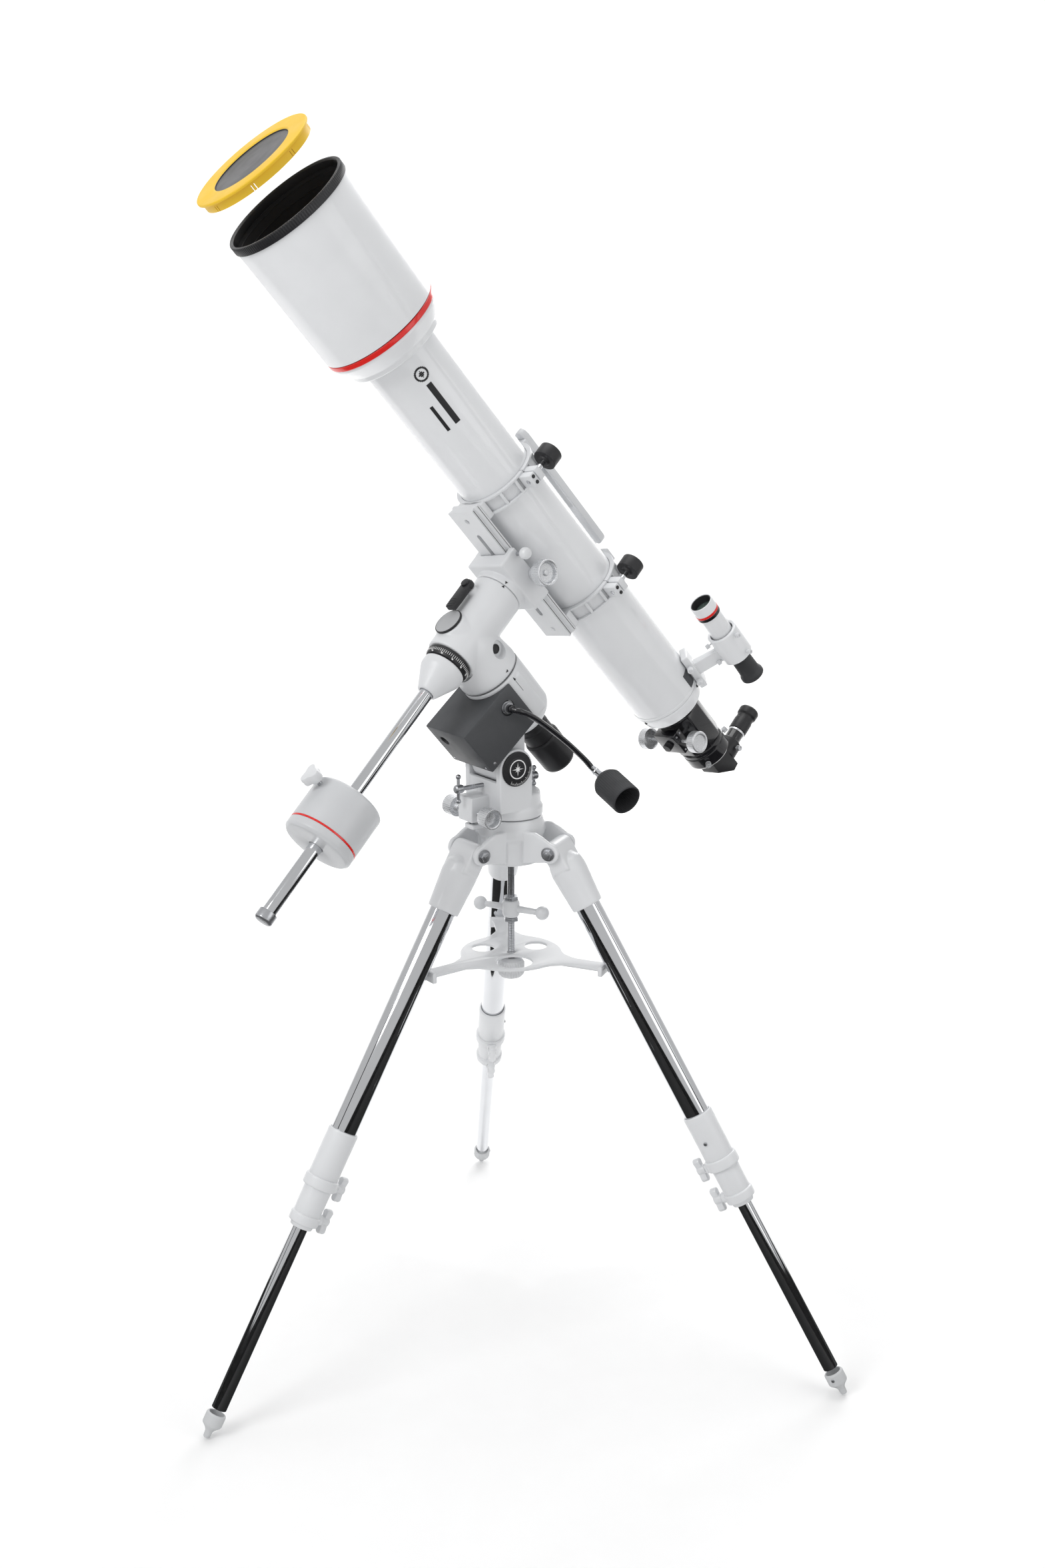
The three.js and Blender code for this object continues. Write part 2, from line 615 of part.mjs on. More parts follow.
function decCircle() {
  const { bore, low } = HEAD;
  const rear = low - 13.4;
  return turnedY([[bore, low - GAP], [33, low - GAP], [34, low - 4], [31, rear], [bore, rear]], 32);
}

function shaftCone() {
  const bore = BAR.radius + GAP;
  const { start } = BAR;
  return turnedY([
    [0, HEAD.low - 13.7],
    [30, HEAD.low - 13.7],
    [30, start + 28],
    [14.5, start - 4],
    [12.5, start - 6],
    [bore, start - 6],
    [bore, start + GAP],
    [0, start + GAP],
  ]);
}

function counterweightBar() {
  const { radius, start, end } = BAR;
  return turnedY([[0, start], [radius, start], [radius, end], [13, end], [13, end - 14], [0, end - 14]], 24);
}

const WEIGHT_KNOB = WEIGHT.near - 15; // along the bar, on the polar side

function counterweight() {
  const { radius, near, far } = WEIGHT;
  const bore = BAR.radius + 0.5;
  const edge = 3;
  const body = turnedY(
    [
      [bore, near],
      [radius - edge, near],
      [radius, near - edge],
      [radius, far + edge],
      [radius - edge, far],
      [bore, far],
    ],
    36,
  );
  return body.subtract(rod(4.4, 5, radius + 5, 12).translate([0, WEIGHT_KNOB, 0]));
}

function counterweightKnob() {
  const lobes = [];
  for (let i = 0; i < 24; i += 1) {
    const angle = (i / 24) * 2 * Math.PI;
    const reach = 13.5 + 2.5 * Math.cos(3 * angle);
    lobes.push([reach * Math.cos(angle), reach * Math.sin(angle)]);
  }
  const grip = slabZ(lobes, WEIGHT.radius + 10, WEIGHT.radius + 24);
  const stud = rod(4, BAR.radius + 0.8, WEIGHT.radius + 12, 12);
  return joined(grip, stud).translate([0, WEIGHT_KNOB, 0]);
}

add(decFrame, 'saddle', saddle(), 'satin_white');
add(decFrame, 'saddle_knob', saddleKnob(), 'silver');
add(decFrame, 'dec_circle', decCircle(), 'black_satin');
add(decFrame, 'shaft_cone', shaftCone(), 'satin_white');
add(decFrame, 'counterweight_bar', counterweightBar(), 'chrome');
add(decFrame, 'counterweight', counterweight(), 'gloss_white');
add(decFrame, 'counterweight_knob', counterweightKnob(), 'gloss_white');

// ---------- Telescope tube ----------

function rail() {
  const { half_length, half_width, top, bottom } = RAIL;
  const section = [
    [-half_width, bottom],
    [half_width, bottom],
    [half_width - 5, top],
    [-half_width + 5, top],
  ];
  return slabZ(section, -half_length, half_length);
}

const FOOT = { half: 20, bottom: RAIL.top + GAP };

// The lower half of a ring: cradle, foot, clamp ear and two hinge knuckles.
function ringBase(place) {
  const { bore, radius, half, hinge, ear } = RING;
  const outline = [...arc(0, 0, radius, 180.5, 359.5, 24), ...arc(0, 0, bore, 359.5, 180.5, 24)];
  const sector = slabZ(outline, -half, half);
  const plinth = block(-FOOT.half, FOOT.half, FOOT.bottom, -bore, -half, half);
  const foot = plinth.subtract(rod(bore + 0.2, -20, 20, 32));
  const lug = block(radius - 3, ear, -12, -0.6, -half + 3, half - 3);
  const strap = block(hinge - 1, -radius + 3, -9, -0.6, -half, half);
  const knuckle = rod(6, -half, half, 14).translate([hinge, 0, 0]);
  const space = block(hinge - 8, hinge + 9, -8, 8, -5, 5);
  const hole = rodY(4.4, -14, 2, ear - 10, 0, 12);
  const body = joined(sector, foot, lug, cut(joined(strap, knuckle), space));
  return body.subtract(hole).translate([0, 0, place]);
}

const BAR_SEAT = 71;
const PIGGYBACK_SCREW = 62; // along the tube

// The upper half swings on the middle knuckle.
function ringTop(place) {
  const { bore, radius, half, hinge, ear } = RING;
  const outline = [...arc(0, 0, radius, 0.5, 179.5, 24), ...arc(0, 0, bore, 179.5, 0.5, 24)];
  const sector = slabZ(outline, -half, half);
  const lug = block(radius - 3, ear, 0.6, 12, -half + 3, half - 3);
  const pad = block(-13, 13, bore, BAR_SEAT, -half + 2, half - 2).subtract(rod(bore + 0.2, -20, 20, 32));
  const knuckle = rod(6, -4.6, 4.6, 14).translate([hinge, 0, 0]);
  const strap = block(hinge, -radius + 3, 0.6, 6, -4.6, 4.6);
  const hole = rodY(4.4, -2, 14, ear - 10, 0, 12);
  const clear = joined(
    rod(6.6, -half, -4.8, 14).translate([hinge, 0, 0]),
    rod(6.6, 4.8, half, 14).translate([hinge, 0, 0]),
  );
  return cut(joined(sector, lug, pad, knuckle, strap), hole, clear).translate([0, 0, place]);
}

// A clamp knob: a black cup over its stud, captive in the upper ear.
function ringKnob(place) {
  const x = RING.ear - 10;
  const profile = [[0, 34], [10, 34], [10, 28], [14, 26], [17, 30], [17, 46], [14, 50], [0, 50]];
  const stud = rodY(3.6, -10, 20, 0, 0, 12);
  return joined(turnedY(profile, 20), rodY(7, 12.4, 35, 0, 0, 14), stud).translate([x, 0, place]);
}

// The piggyback bar on the ring tops, slotted for its camera screw.
function piggybackBar() {
  const top = BAR_SEAT + 12;
  const bar = block(-9, 9, BAR_SEAT + GAP, top, -92, 130);
  const slot = block(-3.5, 3.5, BAR_SEAT - 5, top + 5, -20, 84);
  return bar.subtract(slot).add(rodY(12, top - 2, top + 8, 0, PIGGYBACK_SCREW, 24));
}

function mainTube() {
  const { radius, wall, front, rear } = TUBE;
  return turned([[radius - wall, rear], [radius, rear], [radius, front], [radius - wall, front]], 36);
}

function objectiveCell() {
  return turned(
    [
      [TUBE.radius + GAP, 352.3],
      [71, 352.3],
      [72, 354],
      [76, 366],
      [DEW.radius - 1.5, 386],
      [DEW.radius - 1.5, DEW.rear - GAP],
      [DEW.radius - DEW.wall - 0.5, DEW.rear - GAP],
      [DEW.radius - DEW.wall - 0.5, 403],
      [60, 403],
      [60, 390],
      [LENS_RADIUS + GAP, 388],
      [LENS_RADIUS + GAP, 370],
      [48, 368],
      [48, 364],
      [TUBE.radius + GAP, 364],
    ],
    32,
  );
}

function objectiveLens() {
  const edge = 383;
  const rise = 3;
  const front = [
    [LENS_RADIUS, edge],
    [34, edge + rise * 0.6],
    [16, edge + rise * 0.9],
    [0, edge + rise],
  ];
  return turned([[0, 371], [LENS_RADIUS, 371], ...front], 32);
}

function dewShield() {
  const { radius, wall, rear, front } = DEW;
  return turned([[radius - wall, rear], [radius, rear], [radius, front], [radius - wall, front]], 36);
}

function frontRim() {
  const { radius, rear, front, bore } = RIM;
  return turned([[bore, rear], [radius, rear], [radius, front - 2], [radius - 2, front], [bore, front]], 36);
}

// The solar filter, held off the front of the tube: a flange and skirt round a film.
function solarFilter() {
  const { back, flange, skirt, radius, window } = FILTER;
  const rim = turned(
    [
      [window, back],
      [RIM.bore - 3, back],
      [RIM.bore - 3, back - skirt],
      [RIM.bore - 1, back - skirt],
      [RIM.bore - 1, back],
      [radius, back],
      [radius, back + flange],
      [window, back + flange],
    ],
    36,
  );
  return rim.add(rod(window + 1, back + 1, back + 2, 36));
}

function tailpiece() {
  const { radius, rear } = TUBE;
  return turned(
    [
      [24, rear - GAP],
      [radius, rear - GAP],
      [radius, rear - 12],
      [radius - 4, rear - 15],
      [radius - 5, rear - 22.7],
      [DRAWTUBE.radius + RUN, rear - 22.7],
      [DRAWTUBE.radius + RUN, rear - 10],
      [24, rear - 10],
    ],
    36,
  ).subtract(rod(DRAWTUBE.radius + RUN, rear - 40, rear + 5, 28));
}

function focuserBody() {
  const { front, rear, radius, pinion } = FOCUSER;
  const outline = arc(0, 0, radius / Math.cos(Math.PI / 8), 22.5, 337.5, 7);
  const body = slabZ(outline, rear, front);
  const flange = rod(44, front - 8, front, 32);
  const box = block(-16, 16, -50, -24, pinion - 18, pinion + 18);
  const axleBore = rodX(5, -45, 45, -40, pinion, 14);
  const arms = rodX(10, -36, 36, -40, pinion, 20);
  return cut(joined(body, flange, box, arms), rod(DRAWTUBE.radius + RUN, rear - 5, front + 5, 32), axleBore);
}

function drawtube() {
  const { radius, collar, end } = DRAWTUBE;
  return turned(
    [
      [radius - 3, FOCUSER.front + 2],
      [radius, FOCUSER.front + 2],
      [radius, FOCUSER.rear - GAP - 2],
      [collar, FOCUSER.rear - GAP - 3],
      [collar, FOCUSER.rear - 12],
      [collar - 4, end],
      [16.5, end],
      [16.5, FOCUSER.rear - 6],
      [radius - 3, FOCUSER.rear - 4],
    ],
    32,
  );
}

// Both focusing knobs on one shaft.
function focusKnobs() {
  const { pinion, knob } = FOCUSER;
  const knobs = [-1, 1].map((side) => {
    const [x0, x1] = side < 0 ? [-60, -44] : [44, 60];
    return rodX(knob, x0, x1, -40, pinion, 28);
  });
  return joined(rodX(4, -50, 50, -40, pinion, 12), ...knobs);
}

function diagonal() {
  const { start, end, axis } = DIAGONAL;
  const nose = rod(16, start - 1, FOCUSER.rear - 8, 20);
  const half = 18;
  const outline = [
    [start, -half],
    [start, 22],
    [end + 20, 22],
    [end + 4, 14],
    [end, 2],
    [end + 4, -6],
    [start - 12, -half],
  ].map(([z, y]) => [-z, y]);
  const box = slabZ(outline, -half, half).rotate([0, 90, 0]);
  const socket = rodY(19, 20, 44, 0, axis, 24);
  const bore = rodY(EYEPIECE.radius + 0.4, 27, 60, 0, axis, 24);
  return cut(joined(nose, box, socket), bore);
}

function eyepiece() {
  const { radius, start, end } = EYEPIECE;
  const profile = [
    [0, start],
    [radius, start],
    [radius, 60],
    [radius + 1.5, 61],
    [radius + 1.5, 84],
    [radius + 3, 86],
    [radius + 3, 98],
    [radius, 100],
    [radius, end],
    [11, end],
    [8, end - 8],
    [0, end - 8],
  ];
  return turnedY(profile, 24).translate([0, 0, DIAGONAL.axis]);
}

// The finder's bracket stands on the tube; in its frame Y points away from the tube.
function finderBracket() {
  const { bracket, distance } = FINDER;
  const tubeSeat = rod(TUBE.radius + GAP, -420, -250, 36);
  const shoe = block(-15, 15, TUBE.radius - 3, 68, bracket - 34, bracket + 30).subtract(tubeSeat);
  const stem = slabZ([[-7, 66], [7, 66], [5, 108], [-5, 108]], bracket - 16, bracket + 8);
  const holder = rod(24, bracket - 20, bracket + 32, 32).translate([0, distance, 0]);
  const bore = rod(FINDER.radius + RUN, -420, -200, 32).translate([0, distance, 0]);
  return joined(shoe, stem, holder).subtract(bore);
}

function finderTube() {
  const { radius, front, rear, distance } = FINDER;
  const profile = [
    [0, rear + 6],
    [10, rear + 4],
    [14, rear],
    [15.5, rear + 2],
    [radius, rear + 28],
    [radius, front - 26],
    [17.5, front - 24],
    [18.5, front - 2],
    [17.5, front],
    [15.5, front],
    [14.5, front - 14],
    [0, front - 14],
  ];
  return turned(profile, 24).translate([0, distance, 0]);
}

add(tubeFrame, 'dovetail_rail', rail(), 'satin_white');
for (const [name, place] of Object.entries(RING_PLACES)) {
  add(tubeFrame, `ring_base_${name}`, ringBase(place), 'satin_white');
  add(tubeFrame, `ring_top_${name}`, ringTop(place), 'satin_white');
  add(tubeFrame, `ring_knob_${name}`, ringKnob(place), 'black_satin');
}
add(tubeFrame, 'piggyback_bar', piggybackBar(), 'satin_white');
add(tubeFrame, 'main_tube', mainTube(), 'gloss_white');
add(tubeFrame, 'objective_cell', objectiveCell(), 'satin_white');
add(tubeFrame, 'objective_lens', objectiveLens(), 'glass');
add(tubeFrame, 'dew_shield', dewShield(), 'gloss_white');
add(tubeFrame, 'front_rim', frontRim(), 'black_satin');
add(tubeFrame, 'solar_filter', solarFilter(), 'yellow');
add(tubeFrame, 'tailpiece', tailpiece(), 'gloss_white');
add(tubeFrame, 'focuser_body', focuserBody(), 'black_gloss');
add(tubeFrame, 'drawtube', drawtube(), 'black_gloss');
add(tubeFrame, 'focus_knobs', focusKnobs(), 'silver');
add(tubeFrame, 'diagonal', diagonal(), 'black_satin');
add(tubeFrame, 'eyepiece', eyepiece(), 'black_satin');
add(finderFrame, 'finder_bracket', finderBracket(), 'gloss_white');
add(finderFrame, 'finder', finderTube(), 'gloss_white');

// ---------- Place on the floor ----------

const bounds = new THREE.Box3().setFromObject(telescope, true);
const middle = bounds.getCenter(new THREE.Vector3());
telescope.position.set(-middle.x, -middle.y, -bounds.min.z);
telescope.updateMatrixWorld(true);

export default telescope;
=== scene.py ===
"""A refractor telescope on its equatorial mount and stand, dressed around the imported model.

Lengths inside the piece functions are millimetres in a piece's own frame; the frames are rigid and in
metres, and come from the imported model's joints.
"""

import json
import math

import bmesh
import bpy
from mathutils import Matrix, Vector


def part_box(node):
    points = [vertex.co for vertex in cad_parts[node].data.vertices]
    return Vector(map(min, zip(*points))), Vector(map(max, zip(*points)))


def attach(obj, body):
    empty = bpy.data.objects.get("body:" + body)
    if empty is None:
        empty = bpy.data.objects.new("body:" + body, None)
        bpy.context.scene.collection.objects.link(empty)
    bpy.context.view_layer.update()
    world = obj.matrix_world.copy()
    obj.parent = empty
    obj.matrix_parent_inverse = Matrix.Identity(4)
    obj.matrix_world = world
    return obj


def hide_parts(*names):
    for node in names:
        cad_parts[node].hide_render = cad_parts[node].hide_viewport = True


MM = 0.001
IMAGE_HEIGHT = 2353
SENSOR = 36.0
FOCAL_PIXELS = 2600
CAMERA_FROM_AXIS = Vector((0.017, -2.448, 0.683))  # from the azimuth joint, in metres
CAMERA_PITCH = 14.6  # degrees below the horizon

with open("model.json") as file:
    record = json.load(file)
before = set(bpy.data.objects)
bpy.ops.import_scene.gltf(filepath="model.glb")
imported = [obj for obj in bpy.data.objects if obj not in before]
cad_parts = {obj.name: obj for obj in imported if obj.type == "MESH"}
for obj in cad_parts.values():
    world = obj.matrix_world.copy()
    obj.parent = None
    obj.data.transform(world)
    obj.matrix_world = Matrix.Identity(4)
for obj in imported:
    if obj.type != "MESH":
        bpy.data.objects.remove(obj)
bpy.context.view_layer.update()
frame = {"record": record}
JOINTS = {joint["name"]: joint for joint in frame["record"]["behaviour"]["joints"]}

# ---------- Frames ----------


def axis(name):
    return Vector(JOINTS[name]["axis"]).normalized()


def place(name):
    return Vector(JOINTS[name]["pos_m"])


def rigid(origin, x, y, z):
    matrix = Matrix((x, y, z)).transposed().to_4x4()
    matrix.translation = origin
    return matrix


def from_yz(origin, y, z):
    return rigid(origin, y.cross(z), y, z)


def from_xz(origin, x, z):
    return rigid(origin, x, z.cross(x), z)


UP = Vector((0, 0, 1))
AXES_MEET = place("polar_turn")
HUB = from_xz(Vector((*place("azimuth_turn").xy, 0)), axis("latitude_bolt_slide_north"), UP)
POLAR = from_yz(AXES_MEET, axis("latitude_tilt"), axis("polar_turn"))
HOUR = from_xz(AXES_MEET, axis("declination_turn"), axis("polar_turn"))
DEC = from_yz(AXES_MEET, axis("declination_turn"), axis("tube_turn"))
TUBE = from_yz(place("tube_turn"), axis("declination_turn"), axis("tube_turn"))
KNOB_SHAFT = from_xz(
    place("slow_motion_turn"), axis("slow_motion_turn").orthogonal().normalized(), axis("slow_motion_turn")
)
LEGS = {
    name: from_yz(place("leg_fold_" + name), axis("leg_fold_" + name), -axis("leg_extend_" + name))
    for name in ("north", "east", "south")
}


def finder_frame():
    """Z along the tube, Y from the tube's axis to the finder's."""
    low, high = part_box("finder")
    centre = (Vector(low) + Vector(high)) / 2 - TUBE.translation
    along = axis("tube_turn")
    out = (centre - along * centre.dot(along)).normalized()
    return from_yz(TUBE.translation, out, along)


FINDER = finder_frame()

# ---------- Shapes, in millimetres ----------


def rounded(profile, radius, closed, steps=3):
    """The profile with its corners turned into short arcs."""
    points = [Vector(p) for p in profile]
    count = len(points)
    out = []
    for i, corner in enumerate(points):
        if not closed and i in (0, count - 1):
            out.append(tuple(corner))
            continue
        before, after = points[i - 1], points[(i + 1) % count]
        a, b = before - corner, after - corner
        reach = min(radius, 0.45 * a.length, 0.45 * b.length)
        if reach < 1e-3 or a.angle(b) > math.radians(172):
            out.append(tuple(corner))
            continue
        start, end = corner + a.normalized() * reach, corner + b.normalized() * reach
        for k in range(steps + 1):
            t = k / steps
            out.append(tuple((1 - t) ** 2 * start + 2 * t * (1 - t) * corner + t**2 * end))
    return out


def disc(radius, low, high):
    """The profile of a solid disc or pin."""
    return [(0, low), (radius, low), (radius, high), (0, high)]


def pipe(inner, outer, low, high):
    """The profile of a ring or a tube."""
    return [(inner, low), (outer, low), (outer, high), (inner, high)]


def lathe(profile, sides=72, round_by=0.6, wave=None, sweep=(0, 360)):
    """A profile of (radius, z) turned round Z. wave(angle, radius, z) gives the radius to use."""
    whole = sweep == (0, 360)
    closed = max(profile[0][0], profile[-1][0]) > 1e-6
    points = rounded(profile, round_by, closed) if round_by else [tuple(p) for p in profile]
    columns = sides if whole else sides + 1
    verts, rows = [], []
    for r, z in points:
        if r < 1e-6:
            rows.append([len(verts)] * columns)
            verts.append((0, 0, z))
            continue
        row = []
        for i in range(columns):
            angle = math.radians(sweep[0] + (sweep[1] - sweep[0]) * i / sides)
            reach = wave(angle, r, z) if wave else r
            row.append(len(verts))
            verts.append((reach * math.cos(angle), reach * math.sin(angle), z))
        rows.append(row)
    pairs = list(zip(rows, rows[1:]))
    if closed:
        pairs.append((rows[-1], rows[0]))
    faces = []
    for low, high in pairs:
        for i in range(columns if whole else columns - 1):
            j = (i + 1) % columns
            corners = [low[i], low[j], high[j], high[i]]
            face = [c for k, c in enumerate(corners) if c not in corners[:k]]
            if len(face) > 2:
                faces.append(face)
    if not whole:
        faces.append([row[0] for row in rows])
        faces.append([row[-1] for row in reversed(rows)])
    return verts, faces


def moved(shape, matrix):
    verts, faces = shape
    return [tuple(matrix @ Vector(v)) for v in verts], faces


def shifted(shape, x=0, y=0, z=0):
    return moved(shape, Matrix.Translation((x, y, z)))


def spun(shape, degrees, about="Z"):
    return moved(shape, Matrix.Rotation(math.radians(degrees), 4, about))


def aimed(x, y, z, degrees, about):
    """A turn, then a move: where a shape made round Z goes."""
    return Matrix.Translation((x, y, z)) @ Matrix.Rotation(math.radians(degrees), 4, about)


TO_X = Matrix(((0, 0, 1, 0), (0, 1, 0, 0), (-1, 0, 0, 0), (0, 0, 0, 1)))
TO_Y = Matrix(((1, 0, 0, 0), (0, 0, 1, 0), (0, -1, 0, 0), (0, 0, 0, 1)))


def lathe_x(profile, y=0, z=0, **options):
    """A profile of (radius, x) turned round a line along X."""
    return shifted(moved(lathe(profile, **options), TO_X), 0, y, z)


def lathe_y(profile, x=0, z=0, **options):
    """A profile of (radius, y) turned round a line along Y."""
    return shifted(moved(lathe(profile, **options), TO_Y), x, 0, z)


def rod(radius, z0, z1, chamfer=0.6, **options):
    return lathe(disc(radius, z0, z1), round_by=chamfer, **options)


def from_bmesh(bm):
    bm.normal_update()
    bm.verts.ensure_lookup_table()
    shape = [tuple(v.co) for v in bm.verts], [[v.index for v in f.verts] for f in bm.faces]
    bm.free()
    return shape


def plate(outline, z0, z1, bevel=1.0, holes=()):
    """A flat outline, with holes, from z0 to z1, with rounded edges."""
    curve = bpy.data.curves.new("outline", "CURVE")
    curve.dimensions = "2D"
    curve.fill_mode = "BOTH"
    curve.extrude = (z1 - z0) / 2 - bevel
    curve.bevel_depth = bevel
    curve.bevel_resolution = 1
    curve.offset = -bevel
    for ring in (outline, *holes):
        spline = curve.splines.new("POLY")
        spline.points.add(len(ring) - 1)
        for point, (x, y) in zip(spline.points, ring):
            point.co = (x, y, 0, 1)
        spline.use_cyclic_u = True
    holder = link("outline", curve)
    depsgraph = bpy.context.evaluated_depsgraph_get()
    mesh = bpy.data.meshes.new_from_object(holder.evaluated_get(depsgraph))
    bm = bmesh.new()
    bm.from_mesh(mesh)
    bmesh.ops.remove_doubles(bm, verts=bm.verts, dist=1e-3)
    bmesh.ops.translate(bm, verts=bm.verts, vec=(0, 0, (z0 + z1) / 2))
    bpy.data.objects.remove(holder)
    bpy.data.curves.remove(curve)
    bpy.data.meshes.remove(mesh)
    return from_bmesh(bm)


def plate_y(outline, y0, y1, bevel=1.0, holes=()):
    """The same for an outline of (x, z) points, from y0 to y1."""
    flip = [[(x, -z) for x, z in ring] for ring in (outline, *holes)]
    return moved(plate(flip[0], y0, y1, bevel, flip[1:]), TO_Y)


def plate_x(outline, x0, x1, bevel=1.0, holes=()):
    """The same for an outline of (y, z) points, from x0 to x1."""
    flip = [[(-z, y) for y, z in ring] for ring in (outline, *holes)]
    return moved(plate(flip[0], x0, x1, bevel, flip[1:]), TO_X)


def box(x0, x1, y0, y1, z0, z1, bevel=1.0):
    bm = bmesh.new()
    size = Vector((x1 - x0, y1 - y0, z1 - z0))
    middle = Matrix.Translation(((x0 + x1) / 2, (y0 + y1) / 2, (z0 + z1) / 2))
    bmesh.ops.create_cube(bm, size=1, matrix=middle @ Matrix.Diagonal((*size, 1)))
    if bevel:
        bmesh.ops.bevel(bm, geom=bm.edges[:], offset=bevel, segments=2, profile=0.5, affect="EDGES")
    return from_bmesh(bm)


def ball(radius, x=0, y=0, z=0, sides=32):
    bm = bmesh.new()
    place_at = Matrix.Translation((x, y, z))
    bmesh.ops.create_uvsphere(bm, u_segments=sides, v_segments=sides // 2, radius=radius, matrix=place_at)
    return from_bmesh(bm)


def circle(cx, cy, radius, steps=32, start=0, end=360):
    count = steps if end - start >= 360 else steps + 1
    turn = [math.radians(start + (end - start) * i / steps) for i in range(count)]
    return [(cx + radius * math.cos(a), cy + radius * math.sin(a)) for a in turn]


def star(teeth, outer, inner, steps=4):
    """A wavy outline with that many lobes."""
    points = []
    for i in range(teeth * steps * 2):
        angle = math.pi * i / (teeth * steps)
        reach = (outer + inner) / 2 + (outer - inner) / 2 * math.cos(teeth * angle)
        points.append((reach * math.cos(angle), reach * math.sin(angle)))
    return points


def knurl(teeth, depth, low, high):
    """Options for lathe: straight teeth on the stretch of z between low and high."""

    def wave(angle, radius, z):
        if low < z < high:
            return radius - depth * (0.5 + 0.5 * math.cos(teeth * angle))
        return radius

    return {"sides": teeth * 6, "wave": wave}


def swept(route, radius, sides=20, steps=12):
    """A round bar along a smooth curve through the route's points."""
    points = [Vector(p) for p in route]
    ends = [2 * points[0] - points[1], *points, 2 * points[-1] - points[-2]]
    path = []
    for i in range(1, len(ends) - 2):
        p0, p1, p2, p3 = ends[i - 1 : i + 3]
        for k in range(steps):
            t = k / steps
            path.append(
                0.5
                * (
                    2 * p1
                    + (p2 - p0) * t
                    + (2 * p0 - 5 * p1 + 4 * p2 - p3) * t**2
                    + (3 * p1 - p0 - 3 * p2 + p3) * t**3
                )
            )
    path.append(points[-1])
    verts, faces = [], []
    side = (path[1] - path[0]).orthogonal().normalized()
    for i, point in enumerate(path):
        along = (path[min(i + 1, len(path) - 1)] - path[max(i - 1, 0)]).normalized()
        side = (side - along * side.dot(along)).normalized()
        other = along.cross(side)
        for k in range(sides):
            angle = 2 * math.pi * k / sides
            verts.append(tuple(point + radius * (side * math.cos(angle) + other * math.sin(angle))))
        if i:
            base = (i - 1) * sides
            for k in range(sides):
                j = (k + 1) % sides
                faces.append([base + k, base + j, base + sides + j, base + sides + k])
    faces.append(list(range(sides))[::-1])
    faces.append(list(range(len(verts) - sides, len(verts))))
    return verts, faces


def tube_patch(radius, angle, half_width, z0, z1, thickness=0.25):
    """A thin curved patch on a tube of that radius."""
    profile = pipe(radius, radius + thickness, z0, z1)
    turn = math.degrees(half_width / radius)
    return lathe(profile, sides=12, round_by=0, sweep=(angle - turn, angle + turn))


# ---------- Materials ----------


def material(name, color, roughness, metallic=0.0, coat=0.0, coat_roughness=0.05):
    made = bpy.data.materials.new(name)
    made.use_nodes = True
    shader = made.node_tree.nodes["Principled BSDF"]
    shader.inputs["Base Color"].default_value = (*color, 1)
    shader.inputs["Roughness"].default_value = roughness
    shader.inputs["Metallic"].default_value = metallic
    shader.inputs["Coat Weight"].default_value = coat
    shader.inputs["Coat Roughness"].default_value = coat_roughness
    made.diffuse_color = (*color, 1)
    return made


def noise(made, scale, detail=3.0):
    nodes, links = made.node_tree.nodes, made.node_tree.links
    coords = nodes.new("ShaderNodeTexCoord")
    texture = nodes.new("ShaderNodeTexNoise")
    texture.inputs["Scale"].default_value = scale
    texture.inputs["Detail"].default_value = detail
    links.new(coords.outputs["Object"], texture.inputs["Vector"])
    return texture.outputs["Fac"]


def ramp(made, source, low, high, start=0.35, end=0.65):
    """Colours or greys from low to high as source goes from start to end."""
    nodes, links = made.node_tree.nodes, made.node_tree.links
    node = nodes.new("ShaderNodeValToRGB")
    stops = node.color_ramp.elements
    stops[0].position, stops[1].position = start, end
    stops[0].color = (*low, 1)
    stops[1].color = (*high, 1)
    links.new(source, node.inputs["Fac"])
    return node.outputs["Color"]


def feed(made, socket, source):
    made.node_tree.links.new(source, made.node_tree.nodes["Principled BSDF"].inputs[socket])


def bump(made, source, strength, distance):
    nodes, links = made.node_tree.nodes, made.node_tree.links
    node = nodes.new("ShaderNodeBump")
    node.inputs["Strength"].default_value = strength
    node.inputs["Distance"].default_value = distance
    links.new(source, node.inputs["Height"])
    feed(made, "Normal", node.outputs["Normal"])


def grey(value):
    return (value, value, value)


def mottled(color, share):
    """Two close shades of one colour."""
    return [tuple(min(1, c * k) for c in color) for k in (1 - share, 1 + share)]


def textured(name, color, roughness, grain, depth, spread=0.02, wear=0.06, **options):
    """A surface with a fine grain, slightly uneven colour and slightly uneven gloss."""
    made = material(name, color, roughness, **options)
    bump(made, noise(made, grain, 4), 0.35, depth)
    feed(made, "Base Color", ramp(made, noise(made, 18, 3), *mottled(color, spread)))
    gloss = ramp(made, noise(made, 30, 5), grey(max(0.02, roughness - wear)), grey(roughness + wear))
    feed(made, "Roughness", gloss)
    return made


def brushed(name, color, roughness, grain=900, **options):
    """Turned metal with a fine grain."""
    made = material(name, color, roughness, metallic=0.8, **options)
    lines = noise(made, grain, 2)
    bump(made, lines, 0.2, 0.00002)
    feed(made, "Roughness", ramp(made, lines, grey(roughness * 0.75), grey(roughness * 1.35)))
    return made


